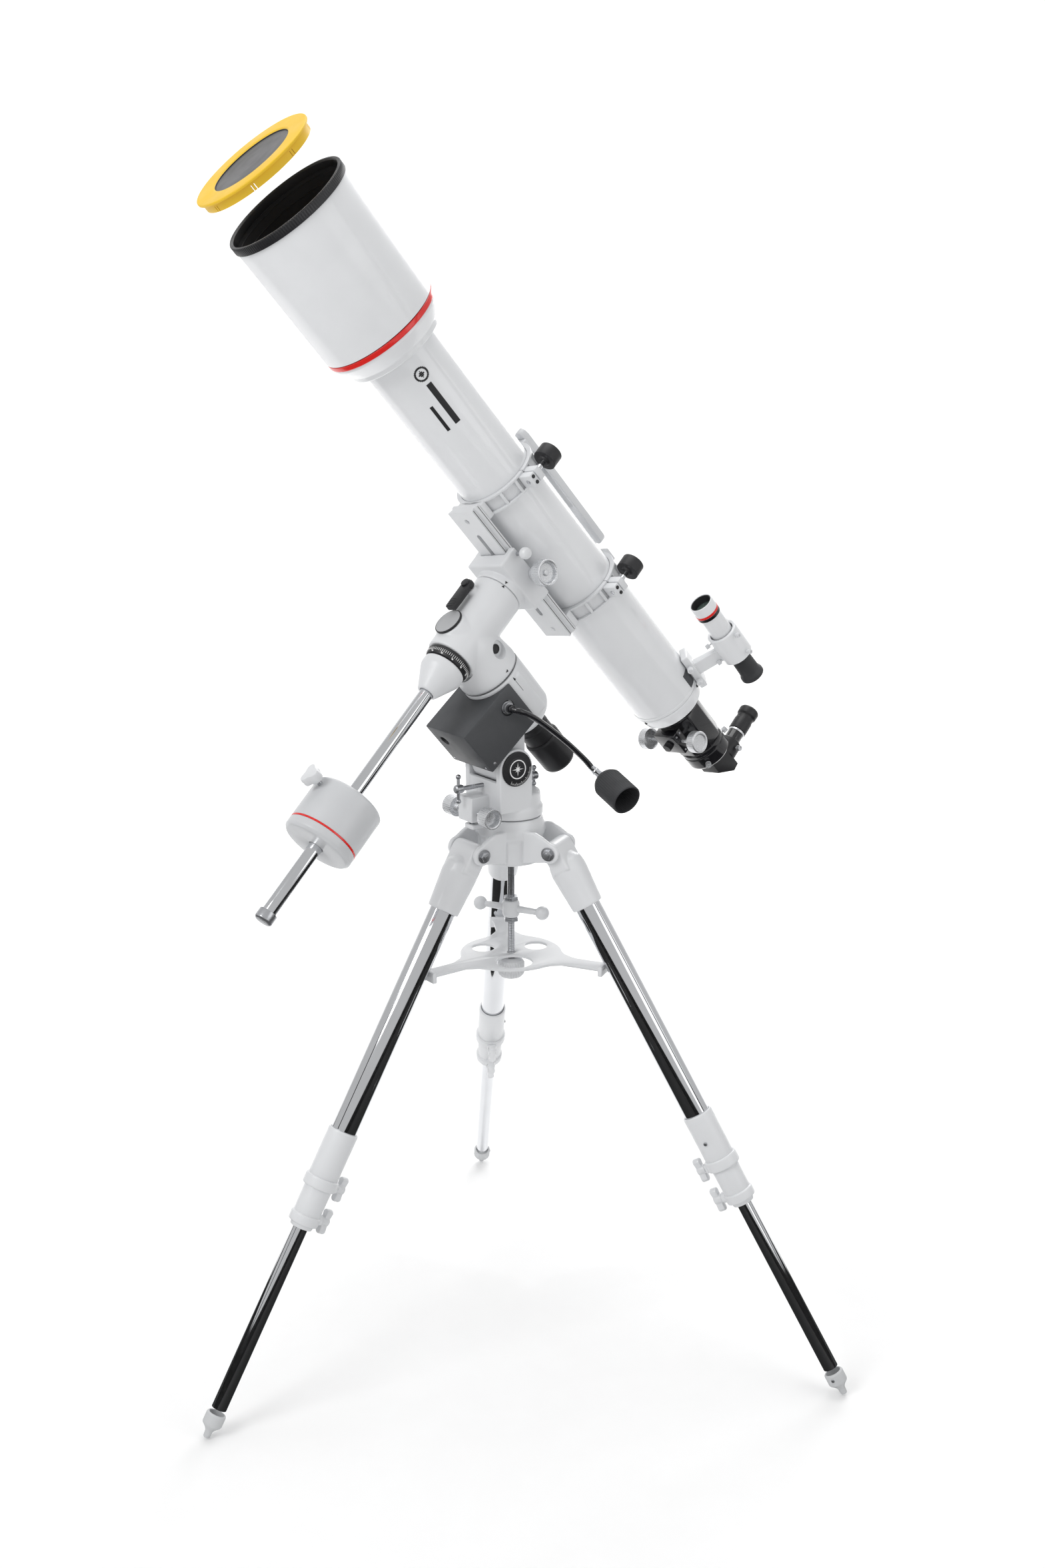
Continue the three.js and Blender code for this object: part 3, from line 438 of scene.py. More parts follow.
PAINT = {
    "gloss_white": textured(
        "pearl_white_paint", (0.76, 0.77, 0.785), 0.24, 900, 0.00002, 0.008, 0.03,
        coat=0.6, coat_roughness=0.04,
    ),
    "dew_white": textured(
        "speckled_white_paint", (0.76, 0.77, 0.785), 0.34, 2600, 0.00006, 0.015, 0.05,
        coat=0.35, coat_roughness=0.1,
    ),
    "satin_white": textured(
        "cast_light_grey_paint", (0.68, 0.69, 0.705), 0.42, 1500, 0.00005, 0.015, 0.06, coat=0.15
    ),
    "leg_white": textured(
        "moulded_white", (0.70, 0.71, 0.725), 0.36, 1100, 0.00004, 0.012, 0.06, coat=0.25
    ),
    "weight_grey": textured(
        "weight_grey_paint", (0.56, 0.57, 0.585), 0.38, 1500, 0.00005, 0.015, 0.06, coat=0.2
    ),
    "anthracite": textured("anthracite_shell", (0.060, 0.063, 0.068), 0.5, 1700, 0.00006, 0.06, 0.06),
    "black_satin": textured("black_satin", (0.016, 0.016, 0.018), 0.42, 1500, 0.00004, 0.1, 0.08),
    "black_gloss": textured(
        "black_gloss", (0.010, 0.010, 0.012), 0.18, 700, 0.00002, 0.1, 0.05, coat=0.6, coat_roughness=0.06
    ),
    # Matt black lining; the same material also paints the shade in the seam at the foot of the declination
    # housing.
    "lining": textured("matt_black_lining_and_seam_shade", (0.022, 0.022, 0.024), 0.55, 1500, 0.00008, 0.1, 0.05),
    "cap_grey": textured("cap_grey", (0.40, 0.405, 0.415), 0.45, 1500, 0.00004, 0.03, 0.06),
    "rubber": textured("dark_rubber", (0.035, 0.036, 0.039), 0.62, 1300, 0.00005, 0.1, 0.08),
    "foot_rubber": textured("grey_foot_rubber", (0.55, 0.56, 0.57), 0.6, 1300, 0.00005, 0.05, 0.08),
    "yellow": textured("yellow_moulding", (0.80, 0.50, 0.012), 0.45, 1400, 0.00005, 0.02, 0.06),
    "red": textured("red_band", (0.70, 0.012, 0.008), 0.25, 900, 0.00002, 0.03, 0.04, coat=0.5),
    # Black print; the same material also paints the shade lines on the dovetail rail.
    "print_and_shade_black": textured("black_print_and_painted_shade", (0.02, 0.02, 0.022), 0.5, 1500, 0.00002, 0.05, 0.05),
    "mark_white": textured("white_print", (0.78, 0.78, 0.78), 0.5, 1500, 0.00002, 0.02, 0.05),
    "film": textured("solar_film", (0.10, 0.10, 0.105), 0.4, 8, 0.00004, 0.03, 0.04, metallic=0.4),
    "chrome": textured("chrome_plate", (0.74, 0.75, 0.77), 0.07, 60, 0.00003, 0.02, 0.03, metallic=1.0),
    "steel": textured("dark_steel", (0.50, 0.51, 0.53), 0.28, 600, 0.00003, 0.04, 0.08, metallic=0.85),
    "silver": brushed("turned_aluminium", (0.80, 0.81, 0.83), 0.3),
}


def glass():
    made = material("coated_glass", (0.62, 0.78, 0.72), 0.02, coat=0.4, coat_roughness=0.02)
    shader = made.node_tree.nodes["Principled BSDF"]
    shader.inputs["Transmission Weight"].default_value = 0.9
    shader.inputs["IOR"].default_value = 1.5
    bump(made, noise(made, 40, 1), 0.05, 0.00002)
    return made


PAINT["glass"] = glass()

# ---------- Pieces ----------


SHARP = math.radians(32)  # edges sharper than this are not shaded smooth


def link(name, data):
    """A new object in the scene."""
    made = bpy.data.objects.new(name, data)
    bpy.context.scene.collection.objects.link(made)
    return made


def solid(name, verts, faces):
    """A mesh object whose faces all look outwards."""
    mesh = bpy.data.meshes.new(name)
    mesh.from_pydata(verts, [], faces)
    bm = bmesh.new()
    bm.from_mesh(mesh)
    bmesh.ops.recalc_face_normals(bm, faces=bm.faces)
    bm.to_mesh(mesh)
    bm.free()
    return link(name, mesh)


def piece(name, shapes, where, body, paint, node=None):
    """One object from shapes in millimetres, riding on a body and, with a node, standing for it."""
    verts, faces = [], []
    for more_verts, more_faces in shapes:
        base = len(verts)
        verts += [tuple(where @ (MM * Vector(v))) for v in more_verts]
        faces += [[base + i for i in face] for face in more_faces]
    made = solid(name, verts, faces)
    made.data.materials.append(PAINT[paint])
    made.data.shade_smooth()
    made.data.set_sharp_from_angle(angle=SHARP)
    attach(made, body)
    if node:
        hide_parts(node)
    return made


def cast(name, shapes, where, body, paint, node, voxel, passes):
    """A casting: the shapes run together with soft fillets."""
    made = piece(name, shapes, where, body, paint, node)
    remesh = made.modifiers.new("cast", "REMESH")
    remesh.mode = "VOXEL"
    remesh.voxel_size = voxel * MM
    remesh.use_smooth_shade = True
    soften = made.modifiers.new("soften", "SMOOTH")
    soften.factor = 0.5
    soften.iterations = passes
    return made


def bolt_head(radius, height, sides=6):
    """A hexagon head with its washer, on Z = 0."""
    return [
        rod(radius * 1.35, 0, height * 0.25, 0.2, sides=32),
        plate(circle(0, 0, radius, sides), height * 0.25, height, 0.4),
        rod(radius * 0.45, height, height * 1.35, 0.5, sides=24),
    ]


def thumb_screw(radius, length, grip):
    """A knurled thumb screw: its stem from Z = 0, then its grip."""
    top = length + grip
    stem = rod(radius * 0.35, 0, length + 0.5, 0.2, sides=20)
    profile = [
        (0, length), (radius, length), (radius, top), (radius * 0.55, top), (radius * 0.5, top - 1),
        (0, top - 1)
    ]
    return [stem, lathe(profile, round_by=0.5, **knurl(22, 0.5, length + 0.4, top - 0.4))]

# ---------- Stand ----------

PIVOT_RADIUS = 74
HUB_TOP = 826
PIVOT_HEIGHT = 783
EAR_RADIUS = 15


def hub():
    """The hub casting with its six ears, and the bolts the legs swing on."""
    body = lathe(
        [
            (7, 812), (7, HUB_TOP), (46, HUB_TOP), (50, 812), (50, 800), (46, 794), (46, 760), (41, 757),
            (41, 800), (24, 806), (24, 812)
        ],
        round_by=2,
    )
    ear = [
        (34, 764), (62, 768), *circle(PIVOT_RADIUS, PIVOT_HEIGHT, EAR_RADIUS, 20, -110, 80), (64, 806),
        (52, 812), (34, 812)
    ]
    ears, bolts = [], []
    for turn in (0, 120, 240):
        for y in (-36, 28):
            ears.append(spun(plate_y(ear, y, y + 8, 1.6), turn))
        rear = [spun(s, -90, "X") for s in bolt_head(7.5, 6)]
        ends = [shifted(s, PIVOT_RADIUS, 36, PIVOT_HEIGHT) for s in rear]
        others = [shifted(spun(s, 90, "X"), PIVOT_RADIUS, -36, PIVOT_HEIGHT) for s in bolt_head(7.5, 6)]
        pin = lathe_y(disc(4, -36, 36), PIVOT_RADIUS, PIVOT_HEIGHT, sides=24)
        bolts += [spun(s, turn) for s in (*ends, *others, pin)]
    peg = shifted(rod(4, 820, 846, 0.5), 70)
    foot = box(38, 76, -11, 11, 816, 824, 2)
    cast("tripod_hub_casting", [body, *ears, foot], HUB, "hub", "leg_white", "tripod_hub", 1.3, 4)
    piece("azimuth_peg", [peg], HUB, "hub", "steel")
    piece("leg_pivot_bolts", bolts, HUB, "hub", "steel")


T_HANDLE_TURN = 152.4 - math.degrees(math.atan2(HUB[1][0], HUB[0][0]))


def clamp_rod():
    """The threaded clamping rod and its T handle with ball ends."""
    thread = [(0, 598), (5.5, 598)]
    for i in range(28):
        z = 600 + 2.6 * i
        thread += [(4.9, z), (5.5, z + 1.3)]
    thread += [(5.5, 825), (0, 825)]
    piece(
        "clamp_rod_screw", [lathe(thread, sides=32, round_by=0)], HUB, "clamp_rod", "steel", "clamp_rod",
    )
    nuts = [plate(circle(0, 0, 11, 6), z, z + 6, 0.8) for z in (661, 694)]
    piece("clamp_rod_nuts", nuts, HUB, "clamp_rod", "steel")
    handle = [
        lathe([(5.6, 668), (11, 668), (13, 673), (13, 689), (11, 694), (5.6, 694)], round_by=2),
        lathe_x([(0, -50), (4.4, -50), (5.2, -13), (5.2, 13), (4.4, 50), (0, 50)], 0, 681, sides=32),
        ball(10.5, -52, 0, 681),
        ball(10.5, 52, 0, 681),
    ]
    handle = [spun(shape, T_HANDLE_TURN) for shape in handle]
    piece("t_handle", handle, HUB, "clamp_rod", "leg_white")


TRAY_HOLES = ((27, 60, 42), (17, -60, 46), (17, 180, 46))  # radius, degrees from north, distance


def tray():
    """The tray: a thin disc with round holes, and three arms whose ends bear on the legs."""
    outline = []
    for turn in (0, 120, 240):
        arm = Matrix.Rotation(math.radians(turn), 2)
        neck = [(76, -24), (96, -13), (140, -13), (152, -18), (152, 18), (140, 13), (96, 13), (76, 24)]
        outline += [tuple(arm @ Vector(p)) for p in rounded(neck, 8, False)]
        outline += [tuple(arm @ Vector(p)) for p in circle(0, 0, 76, 10, 26, 94)]
    holes = [
        circle(d * math.cos(math.radians(a)), d * math.sin(math.radians(a)), r, 40)
        for r, a, d in TRAY_HOLES
    ]
    sheet = plate(outline, 608, 612, 1, (*holes, circle(0, 0, 6.2, 20)))
    lips = [spun(box(145, 152, -18, 18, 600, 616, 1.5), turn) for turn in (0, 120, 240)]
    ribs = [spun(box(60, 148, -2, 2, 602, 609, 0.8), turn) for turn in (0, 120, 240)]
    piece("accessory_tray_plate", [sheet, *lips, *ribs], HUB, "tray", "leg_white", "accessory_tray")
    profile = [(6.2, 574), (15, 574), (19, 578), (20, 581), (20, 596), (17, 600), (10, 603.7), (6.2, 603.7)]
    knob = lathe(profile, **knurl(28, 1.6, 575, 598))
    piece("tray_star_knob", [knob], HUB, "tray_knob", "satin_white", "tray_knob")


CLAMP_KNOBS = (-570, -520)  # along a leg: the lower and the upper wing knob


def wing_knob(z):
    """A winged knob on its stud, on the inner side of a leg."""
    wing = [*circle(0, 0, 7, 8, 40, 140), *circle(-12, 0, 6.5, 8, 110, 250)]
    wing += [*circle(0, 0, 7, 8, 220, 320), *circle(12, 0, 6.5, 8, -70, 70)]
    grip = moved(plate(wing, 30, 41, 2), Matrix.Rotation(math.radians(-90), 4, "Y"))
    collar = lathe_x([(0, -31), (7.5, -31), (6.5, -27.4), (0, -27.4)], sides=32)
    return [shifted(shape, 0, 0, z) for shape in (grip, collar)]


def leg(name, where):
    """One leg: casting, outer tube, clamp with two wing knobs, inner tube and foot."""
    body = "upper_leg_" + name
    head = plate_y([*circle(0, 0, 14, 24, 0, 180), (-14, -34), (14, -34)], -27.7, 27.7, 3)
    sleeve = lathe(
        [
            (19.4, -95), (22.6, -95), (23.4, -93), (27, -36), (25, -22), (16, -12), (0, -12), (0, -60),
            (19.4, -60)
        ],
        round_by=3,
    )
    cast(f"leg_head_{name}", [head, sleeve], where, body, "leg_white", "leg_casting_" + name, 1.2, 4)
    outer = lathe(pipe(17.4, 19, -516, -60), sides=96, round_by=0.4)
    piece(f"outer_tube_{name}", [outer], where, body, "chrome", "upper_leg_" + name)
    clamp = [
        lathe([(19.3, -512), (22, -512), (22.4, -440), (21.6, -438), (19.3, -438)], round_by=0.8, sides=96),
        lathe([(19.3, -525), (24.5, -525), (25, -523), (25, -511), (24, -509), (19.3, -509)], round_by=1),
        lathe([(11.6, -570), (20, -570), (20.5, -524), (11.6, -524)], round_by=0.8),
        lathe(
            [(11.6, -586), (16, -586), (17, -581), (22, -579), (22.4, -567), (20, -565), (11.6, -565)],
            round_by=1
        ),
        box(-29, -18, -8, 8, CLAMP_KNOBS[1] - 7, CLAMP_KNOBS[1] + 7, 2.5),
        lathe_x([(0, -26.8), (8, -26.8), (9, -15), (0, -15)], 0, CLAMP_KNOBS[0], sides=32),
    ]
    screw = lathe_y([(0, -24), (2.6, -24), (3, -21.5), (0, -21.5)], 0, -480, sides=20)
    piece(f"leg_clamp_{name}_body", clamp, where, body, "leg_white", "leg_clamp_" + name)
    piece(f"leg_clamp_{name}_screw", [screw], where, body, "steel")
    lower = wing_knob(CLAMP_KNOBS[0])
    piece(f"wing_knob_low_{name}", lower, where, "clamp_knob_" + name, "leg_white", "clamp_knob_" + name)
    piece(
        f"wing_knob_high_{name}", [shifted(s, -2) for s in wing_knob(CLAMP_KNOBS[1])], where, body,
        "leg_white"
    )
    inner = "lower_leg_" + name
    tube = lathe(disc(11, -862, -440), sides=72, round_by=0.4)
    piece(f"inner_tube_{name}", [tube], where, inner, "chrome", inner)
    foot(name, where, inner)


def foot(name, where, body):
    """The rubber foot: a cap and a pointed tip that stands on the floor."""
    lean = where.to_3x3().col[2].angle(UP)
    tip = -PIVOT_HEIGHT / math.cos(lean)
    reach = 5 * math.sin(lean) / math.cos(lean)
    profile = [
        (0, reach + 0.2), (3.5, reach + 0.2), (5, reach + 2), (5.5, 13), (8, 17), (13.5, 22),
        (14.5, 24), (14.5, 38), (13, 40), (11.1, 40), (11.1, 30), (0, 30),
    ]
    profile = [(r, tip + z) for r, z in profile]
    piece(f"foot_{name}", [lathe(profile, round_by=0.8)], where, body, "foot_rubber")
    screw = lathe_y([(0, -15.4), (2.4, -15.4), (2.8, -12.4), (0, -12.4)], 0, tip + 32, sides=20)
    piece(f"foot_screw_{name}", [screw], where, body, "steel")


hub()
clamp_rod()
tray()
for leg_name, leg_place in LEGS.items():
    leg(leg_name, leg_place)

# ---------- Mount ----------

FORK = (22, 906)  # the latitude pivot in the hub's frame, x and z


def fork():
    """The turning base: collar, two cheeks with round scale discs, walls and the nose over the peg."""
    px, pz = FORK
    collar = lathe(
        [(0, 827), (44.5, 827), (47, 830), (47, 841), (44, 845), (43, 862), (40, 864), (0, 864)],
        round_by=1.5
    )
    cheek = [(px + 28, 842), *circle(px, pz, 29, 28, 0, 180), (px - 28, 842)]
    cheeks = [plate_y(cheek, y, y + 11, 1.5) for y in (-44, 33)]
    walls = [box(42, 50, -34, 34, 842, 887, 1.5), box(-6, 2, -34, 34, 842, 887, 1.5)]
    nose = [
        box(50, 82, -17, -13.2, 829, 866, 1.2), box(50, 82, 13.2, 17, 829, 866, 1.2),
        box(76.5, 82, -17, 17, 829, 866, 1.2)
    ]
    nose += [box(42, 82, -17, 17, 850, 866, 1.2), box(42, 63, -17, 17, 829, 866, 1.2)]
    cast(
        "azimuth_fork_casting", [collar, *cheeks, *walls, *nose], HUB, "azimuth", "satin_white",
        "azimuth_fork", 1.1, 3
    )
    pin = lathe_y(disc(6, -33, 33), px, pz, sides=32)
    piece("latitude_pin", [pin], HUB, "azimuth", "steel")
    for side, label in ((-1, "far"), (1, "near")):
        scale_disc(label, side, px, pz)


def scale_disc(label, side, px, pz):
    """A black side disc with a plain white star in a ring, and the latitude ticks on its rim."""
    face = 44
    turn = aimed(px, side * face, pz, -90 * side, "X")
    rim = lathe(
        [(0, 0), (25.5, 0), (25.5, 1.6), (24.5, 2.4), (17, 2.4), (16, 3.2), (0, 3.2)], round_by=0.4,
        sides=96
    )
    piece(f"side_disc_{label}", [moved(rim, turn)], HUB, "azimuth", "black_satin")
    ticks = []
    for i in range(25):
        long = i % 5 == 0
        bar = box(19.5 if long else 21.2, 23.8, -0.22, 0.22, 2.3, 2.55, 0)
        ticks.append(moved(spun(bar, 60 + 5 * i), turn))
    ring = lathe(pipe(12.6, 14.2, 3.1, 3.45), round_by=0)
    points = []
    for i in range(16):
        reach = 10 if i % 4 == 0 else 5.5 if i % 2 == 0 else 2.4
        points.append((reach * math.cos(math.pi * i / 8), reach * math.sin(math.pi * i / 8)))
    badge = plate(points, 3.0, 3.45, 0.05)
    shapes = [*ticks, moved(ring, turn), moved(badge, turn)]
    piece(f"side_disc_marks_{label}", shapes, HUB, "azimuth", "mark_white")


def azimuth_screw(label, side):
    """A knurled azimuth knob with a hollow face, on its screw."""
    grip = lathe(
        [(0, 34), (15, 34), (15, 54), (12.5, 54), (11, 44), (0, 44)],
        **knurl(34, 0.9, 34.8, 53.4), round_by=0.7,
    )
    boss = lathe([(0, 27), (7, 27), (8.5, 34.5), (0, 34.5)], sides=48)
    thread = [(0, 4.8)]
    for i in range(14):
        thread += [(3.0, 5.5 + 1.6 * i), (3.5, 6.3 + 1.6 * i)]
    thread += [(3.5, 28.5), (0, 28.5)]
    aim = aimed(70, 0, 841, -90 * side, "X")
    name = "azimuth_screw_" + label
    piece(f"{name}_knob", [moved(grip, aim), moved(boss, aim)], HUB, name, "silver", name)
    piece(f"{name}_thread", [moved(lathe(thread, sides=24, round_by=0), aim)], HUB, name, "steel")


def latitude_bolt(label, side, length, cross):
    """A latitude bolt with a steel cross bar."""
    start = 8.8
    end = start + length
    thread = [(0, start), (1.6, start), (3.4, start + 3)]
    for i in range(16):
        thread += [(2.9, start + 4 + 2 * i), (3.4, start + 5 + 2 * i)]
    thread += [(3.4, end - 10), (0, end - 10)]
    shapes = [
        lathe(thread, sides=24, round_by=0),
        lathe(
            [(0, end - 14), (5, end - 14), (6.5, end - 11), (6.5, end - 2), (4.5, end), (0, end)], sides=40
        ),
        lathe_x(disc(2.4, -cross, cross), 0, end - 6, sides=24),
    ]
    shapes += [ball(3.9, x, 0, end - 6, 24) for x in (-cross, cross)]
    aim = aimed(FORK[0], 0, 878, 90 * side, "Y")
    name = "latitude_bolt_" + label
    piece(f"{name}_screw", [moved(s, aim) for s in shapes], HUB, name, "steel", name)


POLAR_PIVOT = (POLAR.inverted() @ (HUB @ Vector((FORK[0] * MM, 0, FORK[1] * MM)))) / MM


def polar_housing():
    """The polar axis housing, its lug between the fork's cheeks and the tongue the bolts press on."""
    px, pz = POLAR_PIVOT.x, POLAR_PIVOT.z
    barrel = lathe(
        [
            (20.5, -66), (43.5, -66), (46, -68.5), (46, -100), (45, -150), (41, -158), (33, -166),
            (30, -168), (20.5, -168)
        ],
        round_by=2, sides=96,
    )
    lug = lathe_y(disc(26, -32, 32), px, pz, round_by=2)
    web = plate_y(
        [(24, -118), (43, -118), (43, -149), (px, pz + 26), (px - 16, pz - 21), (24, -154)], -32, 32, 2
    )
    flat = box(-20, 22, 38, 45.5, -150, -74, 3)
    other = box(-20, 22, -45.5, -38, -150, -74, 3)
    reach = FORK[1] - 868
    tongue = shifted(spun(box(-8, 8, -15, 15, -reach, 0, 2), -41, "Y"), px, 0, pz)
    shapes = [barrel, lug, web, flat, other, tongue]
    cast("polar_axis_housing", shapes, POLAR, "latitude", "satin_white", "polar_housing", 1.2, 4)
    line = box(-6, -5.4, 45.3, 45.75, -100, -76, 0)
    arrow = plate_y([(-8, -78), (-3.4, -78), (-5.7, -72)], 45.3, 45.75, 0.05)
    piece("polar_index_mark", [line, arrow], POLAR, "latitude", "print_and_shade_black")


def gear_cover():
    """The box over the polar gears, with a port for the slow-motion shaft and one for a motor."""
    shell = box(5, 109, -48.5, 48.5, -148, -72, 2.2)
    made = piece("gear_cover_shell", [shell], POLAR, "latitude", "anthracite", "gear_cover")
    cuts = [
        rod(46.6, -170, -60, 0, sides=128),
        box(-20, 45, -33, 33, -155, -110, 0),
        lathe_y(disc(11.5, 44, 60), 30, -97, round_by=0, sides=64),
    ]
    for i, shape in enumerate(cuts):
        carve(made, shape, POLAR, f"cover_cut_{i}")
    carve(made, lathe_x(disc(8.5, 104, 112), -24, -98, round_by=0, sides=64), POLAR, "cable_port")
    port = lathe_x(
        [(0, 103), (8.4, 103), (8.4, 108.6), (7.4, 108.8), (7, 104.4), (0, 104.4)], -24, -98, sides=64,
        round_by=0.3
    )
    piece("gear_cover_port", [port], POLAR, "latitude", "lining")
    screws = [
        lathe_x([(0, 108.8), (2.2, 108.8), (1.9, 109.3), (0, 109.3)], y, z, sides=24)
        for y, z in ((-40, -140), (38, -141))
    ]
    screws.append(lathe_y([(0, 48.3), (2.4, 48.3), (2, 49.2), (0, 49.2)], 98, -140, sides=24))
    piece("gear_cover_screws", screws, POLAR, "latitude", "steel")


def carve(target, shape, where, name):
    """Cuts a shape out of a piece for good."""
    verts, faces = shape
    cutter = solid(name, [tuple(where @ (MM * Vector(v))) for v in verts], faces)
    boolean = target.modifiers.new(name, "BOOLEAN")
    boolean.operation = "DIFFERENCE"
    boolean.solver = "EXACT"
    boolean.object = cutter
    depsgraph = bpy.context.evaluated_depsgraph_get()
    result = bpy.data.meshes.new_from_object(target.evaluated_get(depsgraph))
    target.modifiers.clear()
    target.data = result
    result.shade_smooth()
    result.set_sharp_from_angle(angle=SHARP)
    bpy.data.objects.remove(cutter)


def scope_cover():
    """The black cover over the polar scope's eyepiece end."""
    neck = lathe(disc(24, -168.6, -205), round_by=1, sides=96)
    cup = lathe(
        [(0, -206), (24, -205), (27, -208), (26, -256), (24, -261), (20, -260), (18, -258), (0, -258)],
        round_by=1.5, sides=96
    )
    ring_grooves_and_shade_lines = [
        lathe([(24, z), (24.5, z + 1), (24.5, z + 3), (24, z + 4)], round_by=0.3) for z in (-186, -178)
    ]
    shapes = [neck, cup, *ring_grooves_and_shade_lines]
    piece(
        "polar_scope_end_cover", shapes, POLAR, "latitude", "black_satin", "polar_scope_cover"
    )


SHAFT_ROUTE = (
    (40, 52.3, 998),
    (40, 62, 998),
    (32, 70, 995),
    (2, 68, 979),
    (-54, 56, 940),
    (-98, 46, 905),
    (-112.5, 50.6, 887.6),
    (-112, 61, 884),
)


def slow_motion():
    """The bent slow-motion shaft with its ferrules, and the ribbed hand knob."""
    shaft = swept(SHAFT_ROUTE, 4.4, sides=28)
    piece("slow_motion_bent_shaft", [shaft], HUB, "latitude", "black_gloss", "slow_motion_shaft")
    worm = Vector((40, 0, 998.1))
    rings = ((9.5, 44, 47), (8, 46, 52))
    shapes = [lathe_y(disc(r, a, b), worm.x, worm.z, sides=48) for r, a, b in rings]
    collar = lathe_y([(4.5, 53), (6, 53), (6.4, 60), (4.5, 61)], worm.x, worm.z, sides=48)
    piece("worm_seat", shapes, HUB, "latitude", "steel")
    piece("shaft_collar", [collar], HUB, "latitude", "black_gloss")
    ferrule = lathe([(4.5, -16), (5.6, -15), (6, -2), (5.2, 0), (4.5, 0)], sides=48)
    piece("shaft_ferrule", [ferrule], KNOB_SHAFT, "latitude", "chrome")
    neck = lathe([(0, 0.4), (5.4, 0.4), (6, 2), (6, 18), (0, 20)], sides=48)
    piece("slow_motion_knob_neck", [neck], KNOB_SHAFT, "slow_motion_knob", "chrome")
    grip = lathe(
        [(0, 18), (8, 18), (19, 22), (23, 29), (23, 77), (22, 78), (20.5, 78), (19, 44), (0, 42)],
        **knurl(44, 0.7, 29.5, 75), round_by=1.2,
    )
    piece("slow_motion_grip", [grip], KNOB_SHAFT, "slow_motion_knob", "rubber", "slow_motion_knob")


def dec_housing():
    """The declination housing: a skirt over the polar axis and a barrel across it, run together."""
    barrel = lathe_x(
        [(15.5, -35.5), (36, -35.5), (37, -34), (37, 89.2), (15.5, 89.2)], round_by=1, sides=96
    )
    skirt = lathe(
        [
            (0, -65.4), (44, -65.4), (46, -63), (46, -58), (44, -40), (41, -10), (35, 12), (26, 30),
            (22, 38), (0, 38)
        ],
        round_by=5, sides=96,
    )
    boss = shifted(rod(8.5, 20, 43.6, 2), 60)
    shapes = [barrel, skirt, boss]
    made = cast("declination_housing", shapes, HOUR, "hour", "satin_white", "dec_housing", 1.2, 8)
    carve(made, lathe_x(disc(38, -60, -35.6), round_by=0), HOUR, "seat_cut")
    carve(
        made, lathe_y([(0, -31), (12, -31), (17, -60), (0, -60)], 14, -30, round_by=0, sides=64), HOUR,
        "pocket_cut"
    )
    pocket = [
        lathe_y(
            [(0, -30), (7, -30), (7, -32), (5.6, -32.4), (5, -31.4), (0, -31.4)], 14, -30, sides=48,
            round_by=0.2
        )
    ]
    piece("declination_motor_hole", pocket, HOUR, "hour", "lining")
    window = [
        lathe([(0, 38), (20, 38), (20, 41), (18.6, 41.6), (17.6, 40.6), (0, 40.6)], round_by=0.4, sides=96)
    ]
    piece("polar_scope_window", window, HOUR, "hour", "cap_grey")
    trim = [lathe([(20, 37.6), (21.6, 37.8), (21.4, 40.6), (20, 40.9)], round_by=0.4, sides=96)]
    piece("polar_scope_window_ring", trim, HOUR, "hour", "black_satin")
    # Painted shade: a thin matt black ring stands in for the shade in the seam where this housing's skirt
    # meets the polar housing.
    groove = [lathe([(45.2, -66), (45.5, -66.2), (45.5, -65.4), (45.2, -65.2)], round_by=0, sides=96)]
    piece("polar_seam_painted_shade", groove, HOUR, "hour", "lining")
    arrow = spun(plate([(-2, 0), (2, 0), (0, 4.5)], 0, 0.3, 0.05), 90, "Y")
    arrow = spun(shifted(spun(arrow, 180, "X"), 46, 0, -58), -90)
    piece("polar_index_arrow", [arrow], HOUR, "hour", "print_and_shade_black")


def lock_lever():
    """The declination lock lever and its pivot cap."""
    arm = [*circle(60, 0, 8.5, 20, -90, 90), (30, 8.5), (16, 7.5), (16, -7.5), (30, -8.5)]
    cap = shifted(rod(6.5, 51, 57, 1.2, sides=40), 60)
    boss = shifted(rod(9.5, 45, 51.5, 1.2, sides=48), 60)
    block = plate(arm, 44.6, 54, 1.6)
    ribs = [box(17.5 + 3 * i, 19 + 3 * i, -7, 7, 53.6, 54.5, 0.3) for i in range(5)]
    shapes = [block, cap, boss, *ribs]
    piece("declination_lock", shapes, HOUR, "dec_lock_lever", "black_satin", "dec_lock_lever")


def saddle():
    """The head the dovetail sits in: round base, block, two jaws and the safety screw."""
    base = lathe_y([(0, 90), (36.4, 90), (37, 91), (37, 101), (35, 104), (0, 104)], round_by=1, sides=96)
    block = box(-38, 38, 101, 124.4, -45, 45, 2.5)
    jaws = [
        plate(
            [(s * 27.4, 123), (s * 38, 123), (s * 38, 136), (s * 36, 137.5), (s * 25.6, 137.5)][::s], -45,
            45, 1.2
        ) for s in (-1, 1)
    ]
    shaft = lathe_y(disc(14.6, -49, 92), sides=48)
    cast("saddle_head", [base, block, *jaws], DEC, "declination", "satin_white", "saddle", 1.2, 3)
    piece("declination_shaft", [shaft], DEC, "declination", "steel")
    screw = [lathe_x(disc(3, 36, 50), 134, 35, sides=24)]
    piece("safety_screw", screw, DEC, "declination", "steel")
    top = lathe_x(
        [(0, 48), (6.5, 49), (8.5, 53), (8.5, 58), (6.5, 62), (0, 63)], 134, 35, sides=48, round_by=1.5
    )
    piece("safety_knob", [top], DEC, "declination", "leg_white")
    arrows = []
    for y, flip in ((87, 1), (93.5, -1)):
        mark = [(-2.2, y - 2 * flip), (2.2, y - 2 * flip), (0, y + 2 * flip)]
        arrows.append(plate(mark, 0, 0.3, 0.05))
    turned = [spun(shifted(a, 0, 0, 37), 60, "Y") for a in arrows]
    piece("declination_index_arrows", turned, DEC, "declination", "print_and_shade_black")


